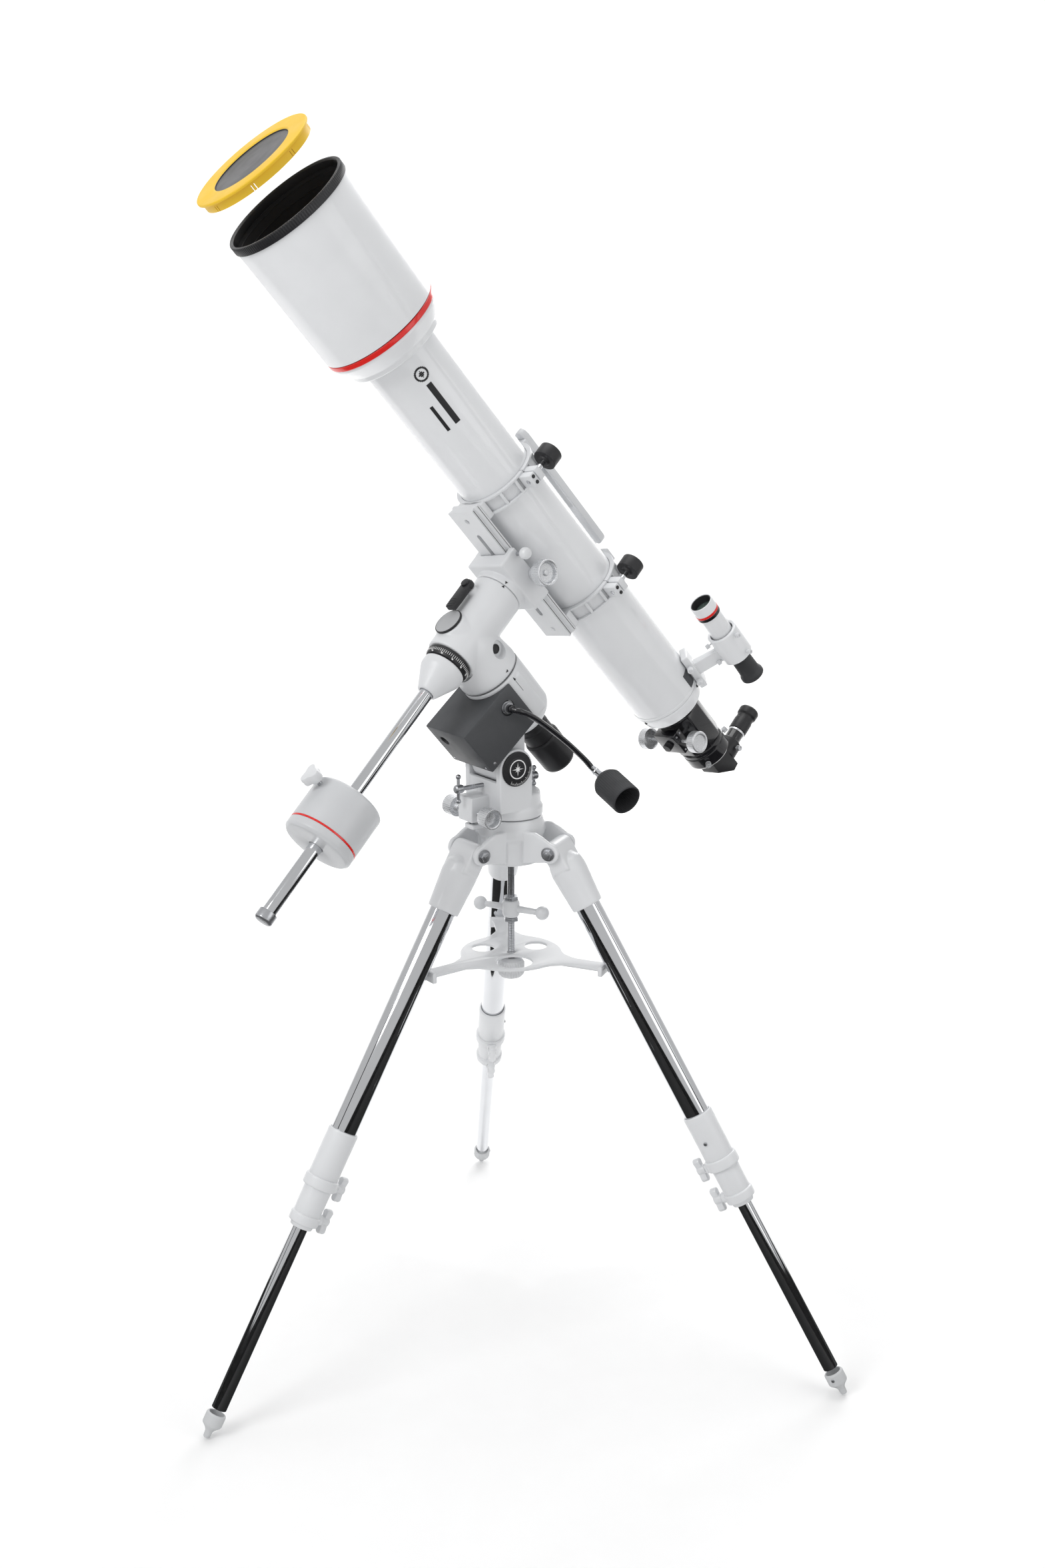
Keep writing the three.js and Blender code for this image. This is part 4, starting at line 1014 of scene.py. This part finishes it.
def saddle_knob():
    """The big knurled saddle knob, dished on its face."""
    grip = lathe_x(
        [(0, 56), (19, 56), (19, 72), (17, 72.5), (15.5, 71), (14, 66), (0, 66)],
        134, -4, **knurl(40, 0.9, 56.8, 71.6), round_by=0.7,
    )
    boss = lathe_x([(0, 38.4), (8, 38.4), (10, 42), (10, 57), (0, 57)], 134, -4, sides=48)
    cap = lathe_x([(0, 65.5), (4.5, 65.5), (4.5, 68), (3.5, 68.6), (0, 68.6)], 134, -4, sides=32)
    shapes = [grip, boss, cap]
    piece("saddle_clamp_knob", shapes, DEC, "saddle_knob", "silver", "saddle_knob")


def dec_circle():
    """The declination setting circle: a black ring with white ticks."""
    ring = lathe_y(
        [(15.6, -36.4), (33, -36.4), (34.2, -39), (32, -49), (30, -49.4), (15.6, -49.4)], round_by=0.6,
        sides=96
    )
    piece("declination_circle", [ring], DEC, "declination", "black_satin", "dec_circle")
    ticks = []
    for i in range(72):
        long = i % 6 == 0
        bar = box(-0.28, 0.28, -47.6 if long else -45.4, -41, 32.9, 33.75, 0)
        ticks.append(spun(bar, 5 * i, "Y"))
    dots = [spun(box(-1.1, 1.1, -48.6, -46.6, 32.4, 32.9, 0), 5 * i + 2.5, "Y") for i in range(0, 72, 6)]
    piece("declination_circle_ticks", ticks + dots, DEC, "declination", "mark_white")


def counterweight_group():
    """The cone at the shaft's end, the bar with its toe cap, and the sliding weight."""
    cone = lathe_y(
        [
            (0, -49.8), (29, -49.8), (31.5, -52), (31.5, -62), (29, -68), (16, -94), (14, -98), (10.4, -98),
            (10.4, -91.5), (0, -91.5)
        ],
        round_by=2.5, sides=96,
    )
    piece("counterweight_shaft_cone", [cone], DEC, "declination", "satin_white", "shaft_cone")
    bar = lathe_y(disc(10, -92, -478), sides=96, round_by=0.4)
    piece("counterweight_shaft", [bar], DEC, "declination", "chrome", "counterweight_bar")
    toe = lathe_y(
        [(0, -477.5), (13, -477.5), (13, -490), (11, -492), (0, -492)], **knurl(30, 0.6, -489, -479)
    )
    piece("counterweight_toe_cap", [toe], DEC, "declination", "steel")
    weight = lathe_y(
        [
            (10.6, -287), (47, -287), (51, -291), (51, -351.3), (50.2, -351.8), (50.2, -354.2),
            (51, -354.7), (51, -365), (47, -369), (10.6, -369)
        ],
        round_by=1.4, sides=128,
    )
    piece("counterweight_body", [weight], DEC, "counterweight", "weight_grey", "counterweight")
    stripe = lathe_y([(50, -351.9), (51.1, -351.7), (51.1, -354.4), (50, -354.2)], round_by=0.2, sides=128)
    piece("counterweight_stripe", [stripe], DEC, "counterweight", "red")
    stem = lathe(disc(3.6, 11, 60), sides=32)
    piece("counterweight_knob_stud", [shifted(stem, 0, -302)], DEC, "counterweight_knob", "steel")
    grip = [
        plate(star(3, 16, 10.5, 12), 61, 75, 2.4),
        lathe([(0, 57), (7, 57), (9, 61), (9, 64), (0, 64)], sides=48)
    ]
    shapes = [shifted(s, 0, -302) for s in grip]
    piece(
        "counterweight_clamp_knob", shapes, DEC, "counterweight_knob", "leg_white", "counterweight_knob",
    )


fork()
azimuth_screw("near", 1)
azimuth_screw("far", -1)
latitude_bolt("north", 1, 68, 18)
latitude_bolt("south", -1, 61, 12)
polar_housing()
gear_cover()
scope_cover()
slow_motion()
dec_housing()
lock_lever()
saddle()
saddle_knob()
dec_circle()
counterweight_group()

# ---------- Tube ----------

RING_HINGE = -70
TUBE_RADIUS = 56
DEW_RADIUS = 87
RIM_RADIUS = 89
FOCUSER_AXIS = -412
DIAGONAL_AXIS = -515


def main_tube():
    """The tube, its lens cell with the red band, and the lens."""
    wall = lathe(pipe(54.2, 56, -349, 362), round_by=0.4, sides=160)
    piece("optical_tube", [wall], TUBE, "tube", "gloss_white", "main_tube")
    seam = [
        lathe([(56, z), (56.5, z + 0.5), (56.5, z + 3.5), (56, z + 4)], round_by=0.2, sides=160)
        for z in (-347, 356)
    ]
    piece("optical_tube_end_bands", seam, TUBE, "tube", "gloss_white")
    flare = DEW_RADIUS - 1.5
    cell = [
        (56.4, 352.6), (70.5, 352.6), (71.5, 354), (71.5, 360), (73.5, 362), (flare, 381), (flare, 384.6),
        (flare - 1, 385),
        (flare - 1, 392.2), (60, 392.2), (60, 389), (51.4, 387.5), (51.4, 370), (48, 368), (48, 364),
        (56.4, 364),
    ]
    piece(
        "lens_cell", [lathe(cell, round_by=1, sides=160)], TUBE, "tube", "gloss_white", "objective_cell",
    )
    collar = lathe(pipe(60.1, 84.2, 392.4, 402.8), round_by=0.5, sides=160)
    piece("lens_cell_collar", [collar], TUBE, "tube", "lining")
    band = lathe(
        [(83, 384.8), (86.2, 384.8), (86.8, 385.8), (86.8, 391.4), (86.2, 392.3), (83, 392.3)],
        round_by=0.5, sides=160
    )
    piece("lens_cell_red_band", [band], TUBE, "tube", "red")
    lens = [
        (0, 371), (51, 371), (51, 381.5),
        *[(51 * (1 - i / 8), 381.5 + 4.3 * math.sin(math.pi / 2 * i / 8)) for i in range(1, 8)], (0, 385.8)
    ]
    piece("front_lens", [lathe(lens, round_by=0, sides=128)], TUBE, "tube", "glass", "objective_lens")


def dew_shield():
    """The dew shield with its lining, and the black rim round its mouth."""
    outer = lathe(
        [(86, 393.2), (DEW_RADIUS, 393.4), (DEW_RADIUS, 576.8), (86, 577)], round_by=0.3, sides=180
    )
    piece("dew_shield_shell", [outer], TUBE, "tube", "dew_white", "dew_shield")
    lining = lathe(pipe(85, 85.8, 393.2, 577), round_by=0, sides=180)
    piece("dew_shield_lining", [lining], TUBE, "tube", "lining")
    baffles = [
        lathe([(84, z), (85.4, z - 0.3), (85.4, z + 0.7), (84, z + 0.4)], round_by=0.2, sides=128)
        for z in range(404, 574, 12)
    ]
    piece("dew_shield_baffles", baffles, TUBE, "tube", "lining")
    teeth = 150
    rim = lathe(
        [(83.6, 577.4), (RIM_RADIUS, 577.4), (RIM_RADIUS, 588), (88, 589), (85, 589), (83.6, 587)],
        sides=teeth * 6, wave=lambda a, r,
        z: r - (0.7 * (0.5 + 0.5 * math.cos(teeth * a)) if r > 88.5 and z > 578.2 else 0),
        round_by=0.4,
    )
    piece("dew_shield_rim", [rim], TUBE, "tube", "black_satin", "front_rim")


def solar_filter():
    """The yellow filter frame with slits in its skirt, and the film stretched in it."""
    flange = lathe(
        [(58.3, 652), (61, 651.6), (87, 651.6), (87, 654.2), (86, 655), (61, 655), (58.3, 654)],
        round_by=0.5, sides=180
    )
    skirt = lathe(pipe(80.5, 82.5, 640, 652), round_by=0.4, sides=180)
    piece("solar_filter_frame", [flange], TUBE, "filter", "yellow", "solar_filter")
    ring = piece("solar_filter_skirt", [skirt], TUBE, "filter", "yellow")
    for i in range(8):
        for turn in (45 * i - 1.6, 45 * i + 1.6):
            carve(ring, spun(box(78, 85, -0.6, 0.6, 638, 648, 0), turn), TUBE, "slit")
    film = []
    for i in range(13):
        r = 60 * i / 12
        film.append((r, 652.6 + 0.12 * math.sin(i * 1.7)))
    film += [(60, 652.2), (0, 652.2)]
    crinkle = lathe(film, sides=96, round_by=0)
    piece("solar_film", [crinkle], TUBE, "filter", "film")
    edge = lathe(
        [(57.4, 652.7), (59.4, 652.7), (59.4, 653.6), (57.8, 653.8), (57.4, 653.4)], round_by=0.2, sides=160
    )
    piece("solar_filter_inner_edge", [edge], TUBE, "filter", "lining")


RING_PLACES = {"front": 108, "rear": -111}


def ring_half(low, high):
    """One half of a ring: a web between two flanges, with ribs across it and pockets between them."""
    shapes = []
    for z0, z1, out in ((-13, -9.8, 63), (9.8, 13, 63), (-9.8, 9.8, 58.4)):
        profile = pipe(56.4, out, z0, z1)
        shapes.append(lathe(profile, sides=72, round_by=0.5, sweep=(low, high)))
    for share in (0.09, 0.23, 0.40, 0.60, 0.77, 0.91):
        shapes.append(spun(box(57.5, 62.8, -2.2, 2.2, -10, 10, 0.8), low + (high - low) * share))
    return shapes


def tube_rings():
    """Both rings: fixed lower halves, swinging upper halves, clamp ears, knobs and the blocks the bar sits
    on.
    """
    for name, at in RING_PLACES.items():
        base = ring_half(180.6, 359.4)
        base += [
            box(-27, 27, -67.8, -57, -13, 13, 1.5),
            box(60, 84, -11.6, -0.7, -10, 10, 1.5),
            box(-71, -60, -9, -0.7, -13, 13, 1),
        ]
        base += [lathe(disc(6, z0, z1), round_by=0.8, sides=40) for z0, z1 in ((-13, -5), (5, 13))]
        base[-2:] = [shifted(s, RING_HINGE) for s in base[-2:]]
        shapes = [shifted(s, 0, 0, at) for s in base]
        piece(f"ring_lower_{name}", shapes, TUBE, "cradle", "satin_white", f"ring_base_{name}")
        felt = lathe(pipe(56.15, 56.5, -12, 12), sides=60, round_by=0, sweep=(182, 358))
        piece(f"ring_felt_lower_{name}", [shifted(felt, 0, 0, at)], TUBE, "cradle", "lining")
        top = ring_half(0.6, 179.4)
        top += [
            box(60, 84, 0.7, 11.6, -10, 10, 1.5),
            box(-13, 13, 57.5, 70.8, -11, 11, 1.5),
            box(-69, -60, 0.7, 6, -4.6, 4.6, 0.8),
            shifted(rod(6, -4.5, 4.5, 0.5, sides=40), RING_HINGE),
        ]
        shapes = [shifted(s, 0, 0, at) for s in top]
        piece(f"ring_upper_{name}", shapes, TUBE, "ring_tops", "satin_white", f"ring_top_{name}")
        felt = lathe(pipe(56.15, 56.5, -12, 12), sides=60, round_by=0, sweep=(2, 178))
        piece(f"ring_felt_upper_{name}", [shifted(felt, 0, 0, at)], TUBE, "ring_tops", "lining")
        pin = [shifted(rod(2.4, -13, 13, 0.3, sides=24), RING_HINGE, 0, at)]
        piece(f"ring_hinge_pin_{name}", pin, TUBE, "cradle", "steel")
        heads = [
            shifted(
                lathe_x([(0, 83.6), (2.8, 83.6), (2.8, 84.9), (2.2, 85.4), (0, 85.4)], -6, z, sides=24), 0,
                0, at
            ) for z in (-5, 5)
        ]
        piece(f"ring_ear_screws_{name}", heads, TUBE, "cradle", "black_satin")
        ring_knob(name, at)


def ring_knob(name, at):
    """A black knurled cup knob on a chrome stud."""
    cup = lathe_y(
        [(0, 28), (7, 28), (9, 31), (17, 31), (17, 50), (15, 50), (14, 42), (0, 42)],
        74, at, **knurl(36, 0.8, 32, 49), round_by=0.7,
    )
    piece(f"ring_clamp_knob_{name}", [cup], TUBE, f"ring_knob_{name}", "black_satin", f"ring_knob_{name}")
    stud = [lathe_y(disc(3.7, -12, 28.4), 74, at, sides=28)]
    stud.append(lathe_y(disc(6.2, 12, 14.5), 74, at, sides=40))
    piece(f"ring_clamp_stud_{name}", stud, TUBE, f"ring_knob_{name}", "chrome")


def piggyback_bar():
    """The slotted bar over the rings, with its screw and knurled wheel."""
    outline = [
        (-9, -84), (-6, -90), (0, -92), (6, -90), (9, -84), (9, 120), (6, 127), (0, 130), (-6, 127),
        (-9, 120)
    ]
    slot = [*circle(0, 80, 4.2, 8, 0, 180), *circle(0, -16, 4.2, 8, 180, 360)]
    bar = plate_y(rounded(outline, 4, True), 71.3, 83, 1.2, (slot,))
    ridges = [box(-8.6, 8.6, 82.4, 83, z, z + 1.6, 0.2) for z in (*range(-74, -24, 5), *range(92, 122, 5))]
    piece("accessory_bar", [bar, *ridges], TUBE, "ring_tops", "satin_white", "piggyback_bar")
    wheel = lathe_y([(0, 83.2), (12, 83.2), (12, 91), (9, 92), (0, 92)], 0, 62, **knurl(30, 0.6, 84, 90.4))
    screw = lathe_y(disc(3, 91, 99), 0, 62, sides=24)
    piece("accessory_bar_screw", [wheel, screw], TUBE, "ring_tops", "silver")


def dovetail_rail():
    """The rail under the rings, with its long slots and screws, and black strips painted as the shade along
    each groove and seam of the rail.
    """
    section = [
        (-27, -83.7), (27, -83.7), (23.6, -76.4), (27, -73.5), (27, -68.2), (-27, -68.2), (-27, -73.5),
        (-23.6, -76.4)
    ]
    rail = plate(section, -125.8, 125.8, 0.7)
    made = piece("dovetail_plate", [rail], TUBE, "cradle", "satin_white", "dovetail_rail")
    for i, z in enumerate((-52, 52)):
        outline = [*circle(0, z + 26, 4, 10, 0, 180), *circle(0, z - 26, 4, 10, 180, 360)]
        carve(made, plate_y(outline, -90, -60, 0), TUBE, f"slot_cut_{i}")
    screws = [lathe_y(disc(4.4, -84, -82), 0, z, sides=6, round_by=0.2) for z in (-111, 108)]
    piece("dovetail_screws", screws, TUBE, "cradle", "steel")
    # Painted shade: thin black strips stand in for the shade along the rail's sloped groove and the seam on
    # each side.
    ring_grooves_and_shade_lines = [box(x, x + 0.3, -80.6, -79.6, -124, 124, 0) for x in (-25.6, 25.3)]
    ring_grooves_and_shade_lines += [box(side * 27 - 0.15, side * 27 + 0.15, -71.4, -70.6, -124, 124, 0) for side in (-1, 1)]
    piece("dovetail_painted_groove_shade", ring_grooves_and_shade_lines, TUBE, "cradle", "print_and_shade_black")


def tail_and_focuser():
    """The tailpiece, and the focuser with its flange, lock knob and pinion box."""
    tail = [(36.3, -349.4), (56, -349.4), (56, -353), (55, -358), (52, -368), (51, -371.6), (36.3, -371.6)]
    piece(
        "tube_tail_ring", [lathe(tail, round_by=0.8, sides=128)], TUBE, "tube", "gloss_white", "tailpiece"
    )
    screws = []
    for i in range(3):
        head = lathe([(0, 0), (2.4, 0), (2.4, 1.2), (1.9, 1.6), (0, 1.6)], sides=24, round_by=0.2)
        screws.append(spun(moved(head, aimed(55.4, 0, -354, 90, "Y")), 120 * i + 25))
    piece("tube_tail_screws", screws, TUBE, "tube", "black_satin")
    flange = lathe(
        [(30.5, -372.6), (44, -372.6), (44, -379), (42, -381), (30.5, -381)], round_by=0.6, sides=96
    )
    octagon = plate(
        rounded(circle(0, 0, 38.4, 8, 22.5, 382.5), 2.5, True), -455.7, -380, 0.8, (circle(0, 0, 30.6, 64),)
    )
    box_under = box(-22, 22, -50, -30, -432, -392, 2.5)
    piece("focuser_housing", [flange, octagon, box_under], TUBE, "tube", "black_gloss", "focuser_body")
    lock = lathe_y(disc(7, -58, -50), 0, FOCUSER_AXIS, **knurl(20, 0.5, -57.5, -50.5))
    piece("focuser_lock_knob", [lock], TUBE, "tube", "black_satin")
    small = [lathe_x(disc(1.8, 21.6, 23), y, z, sides=20) for y in (-36, -45) for z in (-398, -426)]
    piece("focuser_cover_screws", small, TUBE, "tube", "steel")


def focus_knobs():
    """The two silver focusing knobs on their axle."""
    shapes = [lathe_x(disc(3, -44, 44), -40, FOCUSER_AXIS, sides=28)]
    for side in (-1, 1):
        profile = [(0, 44), (12, 44), (17, 46), (17, 59), (15.5, 60), (13, 60), (12, 58), (0, 58)]
        grip = lathe(profile, **knurl(40, 0.7, 46.8, 58.6), round_by=0.6)
        shapes.append(
            shifted(moved(grip, Matrix.Rotation(math.radians(90 * side), 4, "Y")), 0, -40, FOCUSER_AXIS)
        )
    piece("focusing_knobs", shapes, TUBE, "focus_knobs", "silver", "focus_knobs")


def drawtube():
    """The drawtube with its clamping collar and thumb screws."""
    tube = lathe(pipe(25, 30, -385, -470), round_by=0.5, sides=96)
    collar = lathe(
        [
            (19.4, -457), (35, -457), (36.5, -459), (36.5, -464), (35.4, -465), (35.4, -467), (36.5, -468),
            (36.5, -486), (34, -489.6), (19.4, -489.6)
        ],
        round_by=0.6, sides=96,
    )
    piece("focuser_drawtube", [tube, collar], TUBE, "drawtube", "black_gloss", "drawtube")
    screws = []
    for turn in (70, 190, 310):
        for shape in thumb_screw(4.6, 6, 7):
            lifted = moved(shape, aimed(33, 0, -478, 90, "Y"))
            screws.append(spun(lifted, turn))
    piece("drawtube_thumb_screws", screws, TUBE, "drawtube", "silver")


def diagonal():
    """The star diagonal: nose, prism body with its sloping back, and the eyepiece socket."""
    nose = lathe([(0, -449), (15.6, -449), (16, -450), (16, -492), (0, -492)], sides=64)
    side = [(-20, -491), (20, -491), (20, -538), (6, -539.6), (-20, -515)]
    body = plate_x([(y, z) for y, z in side], -18, 18, 2)
    socket = lathe_y(
        [(16.3, 18), (19, 18), (19, 43), (18, 44), (16.3, 44)], 0, DIAGONAL_AXIS, sides=96, round_by=0.5
    )
    piece("star_diagonal", [nose, body, socket], TUBE, "diagonal", "black_satin", "diagonal")
    screw = thumb_screw(4.4, 5, 6)
    aim = aimed(18, 33, DIAGONAL_AXIS, 90, "Y")
    piece("diagonal_thumb_screw", [moved(s, aim) for s in screw], TUBE, "diagonal", "silver")


def eyepiece():
    """The eyepiece: black barrel with a silver band, ribbed grip, eyecup and eye lens."""
    barrel = lathe_y(
        [(0, 24), (15.8, 24), (15.8, 46), (13, 48), (13, 62), (0, 62)], 0, DIAGONAL_AXIS, sides=96
    )
    piece("eyepiece_barrel", [barrel], TUBE, "eyepiece", "black_gloss")
    band = lathe_y(disc(13.8, 62.3, 66), 0, DIAGONAL_AXIS, sides=96, round_by=0.4)
    piece("eyepiece_silver_band", [band], TUBE, "eyepiece", "silver")
    profile = [
        (0, 66.2), (14.2, 66.2), (14.8, 67), (14.8, 88), (14, 89), (14, 96), (16, 99), (16.4, 109),
        (14.5, 112), (12, 111), (10.5, 106), (8, 104), (0, 104),
    ]
    grip = lathe_y(profile, 0, DIAGONAL_AXIS, **knurl(48, 0.45, 70, 86), round_by=0.7)
    piece("eyepiece_body", [grip], TUBE, "eyepiece", "black_satin", "eyepiece")
    eye = lathe_y([(0, 104), (7.9, 104), (7.9, 104.6), (0, 105)], 0, DIAGONAL_AXIS, sides=64, round_by=0.2)
    piece("eyepiece_eye_lens", [eye], TUBE, "eyepiece", "glass")


FINDER_OUT = 131


def finder():
    """The finder scope and its bracket."""
    bracket = [
        box(-15, 15, 56.3, 67.8, -364, -300, 2),
        plate([(-7, 66), (7, 66), (5, 110), (-5, 110)], -345, -322, 1.4),
        lathe(pipe(18.9, 24, -350, -298), round_by=1, sides=96),
    ]
    bracket[2] = shifted(bracket[2], 0, FINDER_OUT)
    made = cast("finder_bracket_arm", bracket, FINDER, "tube", "gloss_white", "finder_bracket", 1.0, 3)
    carve(made, rod(56.25, -420, -250, 0, sides=160), FINDER, "tube_seat")
    screws = []
    for z in (-342, -306):
        for turn in (45, 165, 285):
            for shape in thumb_screw(3.6, 3.5, 6.5):
                out = moved(shape, aimed(23.5, 0, z, 90, "Y"))
                screws.append(shifted(spun(out, turn), 0, FINDER_OUT))
    piece("finder_screws", screws, FINDER, "tube", "leg_white")
    body = [
        (0, -352), (17, -352), (17, -266), (18.4, -262), (18.4, -236), (16.6, -236), (16.6, -250), (0, -250)
    ]
    rear = [(0, -398), (14, -398), (18.6, -397.6), (18.6, -392), (16, -386), (15.2, -353), (0, -353)]
    parts = (
        ("finder_tube", body, "gloss_white", 0.8),
        (
            "finder_front_lining",
            [(0, -249.8), (16.4, -249.8), (16.4, -236.8), (15.4, -236.8), (15.4, -249), (0, -249)],
            "lining", 0.2
        ),
        ("finder_front_lens", [(0, -248.6), (15.2, -248.6), (12, -247), (0, -246)], "glass", 0),
        ("finder_red_ring", pipe(18, 18.8, -256, -252), "red", 0.3),
        ("finder_black_ring", pipe(18, 18.8, -261.5, -256.3), "black_gloss", 0.3),
        ("finder_chrome_ring", pipe(15, 16.6, -354.6, -352.2), "chrome", 0.3),
        ("finder_eyecup", rear, "rubber", 1.2),
    )
    for name, profile, paint, soft in parts:
        nodes, slot = ("finder", "gloss_white") if name == "finder_tube" else ((), None)
        shape = shifted(lathe(profile, round_by=soft, sides=96), 0, FINDER_OUT)
        piece(name, [shape], FINDER, "finder", paint, nodes)
    for i, z in enumerate((-318, -346)):
        aim = aimed(14.8, 62, z, 90, "Y")
        piece(
            f"finder_shoe_screw_{i}", [moved(s, aim) for s in thumb_screw(4.4, 4, 8)], FINDER, "tube",
            "leg_white"
        )


MARKS_ANGLE = -28


def tube_marks():
    """A plain round emblem and two plain bars on the tube's near side, and a plain plate by the finder."""
    shapes = [
        tube_patch(TUBE_RADIUS, MARKS_ANGLE, 4.2, 236, 304),
        tube_patch(TUBE_RADIUS, MARKS_ANGLE - 17, 2.4, 234, 276),
    ]
    for i in range(24):
        turn = 2 * math.pi * i / 24
        angle = MARKS_ANGLE + math.degrees(9 * math.cos(turn) / TUBE_RADIUS)
        middle = 320 + 9 * math.sin(turn)
        shapes.append(tube_patch(TUBE_RADIUS, angle, 1.3, middle - 1.3, middle + 1.3))
    for i in range(-2, 3):
        z = 319 + 2.2 * i
        shapes.append(tube_patch(TUBE_RADIUS, MARKS_ANGLE, 4.5 - 2 * abs(i), z, z + 2))
    piece("tube_plain_marks", shapes, TUBE, "tube", "print_and_shade_black")
    piece("tube_plain_plate", [tube_patch(TUBE_RADIUS, 20, 9, -344, -318)], TUBE, "tube", "anthracite")


main_tube()
dew_shield()
solar_filter()
tube_rings()
piggyback_bar()
dovetail_rail()
tail_and_focuser()
focus_knobs()
drawtube()
diagonal()
eyepiece()
finder()
tube_marks()

# ---------- Stage ----------


STAGE_LIGHTS = (  # place, where it points, size, power
    ("stage_key", (-2.6, -2.4, 3.2), (0, 0, 0.9), 2.2, 62),
    ("stage_fill", (2.9, -1.8, 2.0), (0, 0, 0.9), 2.4, 14),
    ("stage_top", (0.2, 0.6, 4.4), (0, 0, 0.9), 3.0, 52),
    ("stage_rim", (1.4, 2.8, 2.4), (0, 0, 0.9), 1.6, 24),
    ("stage_back", (0, 1.5, 4.6), (0, 7, 3.0), 3.0, 260),
)
STAGE_CARDS = (  # place, width
    ("stage_card_left", (-1.7, -1.2, 0.9), 0.22),
    ("stage_card_right", (2.0, -0.9, 1.3), 0.3),
)
CARD_HEIGHT = 3.2
BOWL_RADIUS = 2.1
BOWL_HEIGHT = 0.45
BOWL_HALF_ANGLE = 112  # degrees either side of the camera's direction


def reflection_bowl(paint):
    """A dark floor and low wall that only the polished parts see."""
    line = [(0.02, 0.004), (BOWL_RADIUS, 0.004), (BOWL_RADIUS, BOWL_HEIGHT)]
    steps = 48
    verts, faces = [], []
    for i in range(steps + 1):
        turn = math.radians(-90 + BOWL_HALF_ANGLE * (2 * i / steps - 1))
        verts += [(r * math.cos(turn), r * math.sin(turn), z) for r, z in line]
    for i in range(steps):
        faces += [[3 * i + k, 3 * i + k + 1, 3 * i + k + 4, 3 * i + k + 3] for k in (0, 1)]
    mesh = bpy.data.meshes.new("stage_bowl")
    mesh.from_pydata(verts, [], faces)
    mesh.materials.append(paint)
    return link("stage_bowl", mesh)


def sweep_backdrop():
    """A floor that curves up into the backdrop without an edge."""
    low, radius, far = -8, 2.5, 7
    line = [(low, 0), (far - radius, 0)]
    for i in range(1, 17):
        turn = math.pi / 2 * i / 16
        line.append((far - radius + radius * math.sin(turn), radius - radius * math.cos(turn)))
    line.append((far, 12))
    verts = [(x, y, z) for y, z in line for x in (-14, 14)]
    faces = [[2 * i, 2 * i + 1, 2 * i + 3, 2 * i + 2] for i in range(len(line) - 1)]
    mesh = bpy.data.meshes.new("stage_floor")
    mesh.from_pydata(verts, [], faces)
    mesh.materials.append(textured("pale_floor", (0.92, 0.92, 0.92), 0.7, 60, 0.00008, 0.004, 0.04))
    mesh.shade_smooth()
    link("stage_floor", mesh)


def stage():
    """A pale floor under soft light, with dark cards for the polished parts to reflect."""
    sweep_backdrop()
    for name, place_at, target, size, power in STAGE_LIGHTS:
        data = bpy.data.lights.new(name, "AREA")
        data.shape = "DISK"
        data.size = size
        data.energy = power
        light = link(name, data)
        light.location = place_at
        light.rotation_euler = (Vector(target) - Vector(place_at)).to_track_quat("-Z", "Y").to_euler()
    dark = material("stage_card", (0.004, 0.004, 0.004), 0.9)
    cards = [reflection_bowl(dark)]
    for name, place_at, width in STAGE_CARDS:
        bpy.ops.mesh.primitive_plane_add(size=1, location=place_at)
        card = bpy.context.object
        card.name = name
        card.rotation_euler = (
            Vector((0, 0, place_at[2])) - Vector(place_at)
        ).to_track_quat("Z", "Y").to_euler()
        card.scale = (width, CARD_HEIGHT, 1)
        card.data.materials.append(dark)
        cards.append(card)
    for card in cards:
        card.visible_camera = False
        card.visible_diffuse = False
        card.visible_shadow = False
    world = bpy.data.worlds.new("studio")
    world.use_nodes = True
    world.node_tree.nodes["Background"].inputs["Color"].default_value = (1, 1, 1, 1)
    world.node_tree.nodes["Background"].inputs["Strength"].default_value = 0.58
    bpy.context.scene.world = world
    bpy.context.scene.view_settings.view_transform = "Standard"


def camera():
    data = bpy.data.cameras.new("photo_camera")
    data.sensor_width = SENSOR
    data.sensor_fit = "AUTO"
    data.lens = FOCAL_PIXELS * SENSOR / IMAGE_HEIGHT
    made = link("photo_camera", data)
    made.location = place("azimuth_turn") + CAMERA_FROM_AXIS
    made.rotation_euler = (math.radians(90 - CAMERA_PITCH), 0, 0)
    bpy.context.scene.camera = made


stage()
camera()
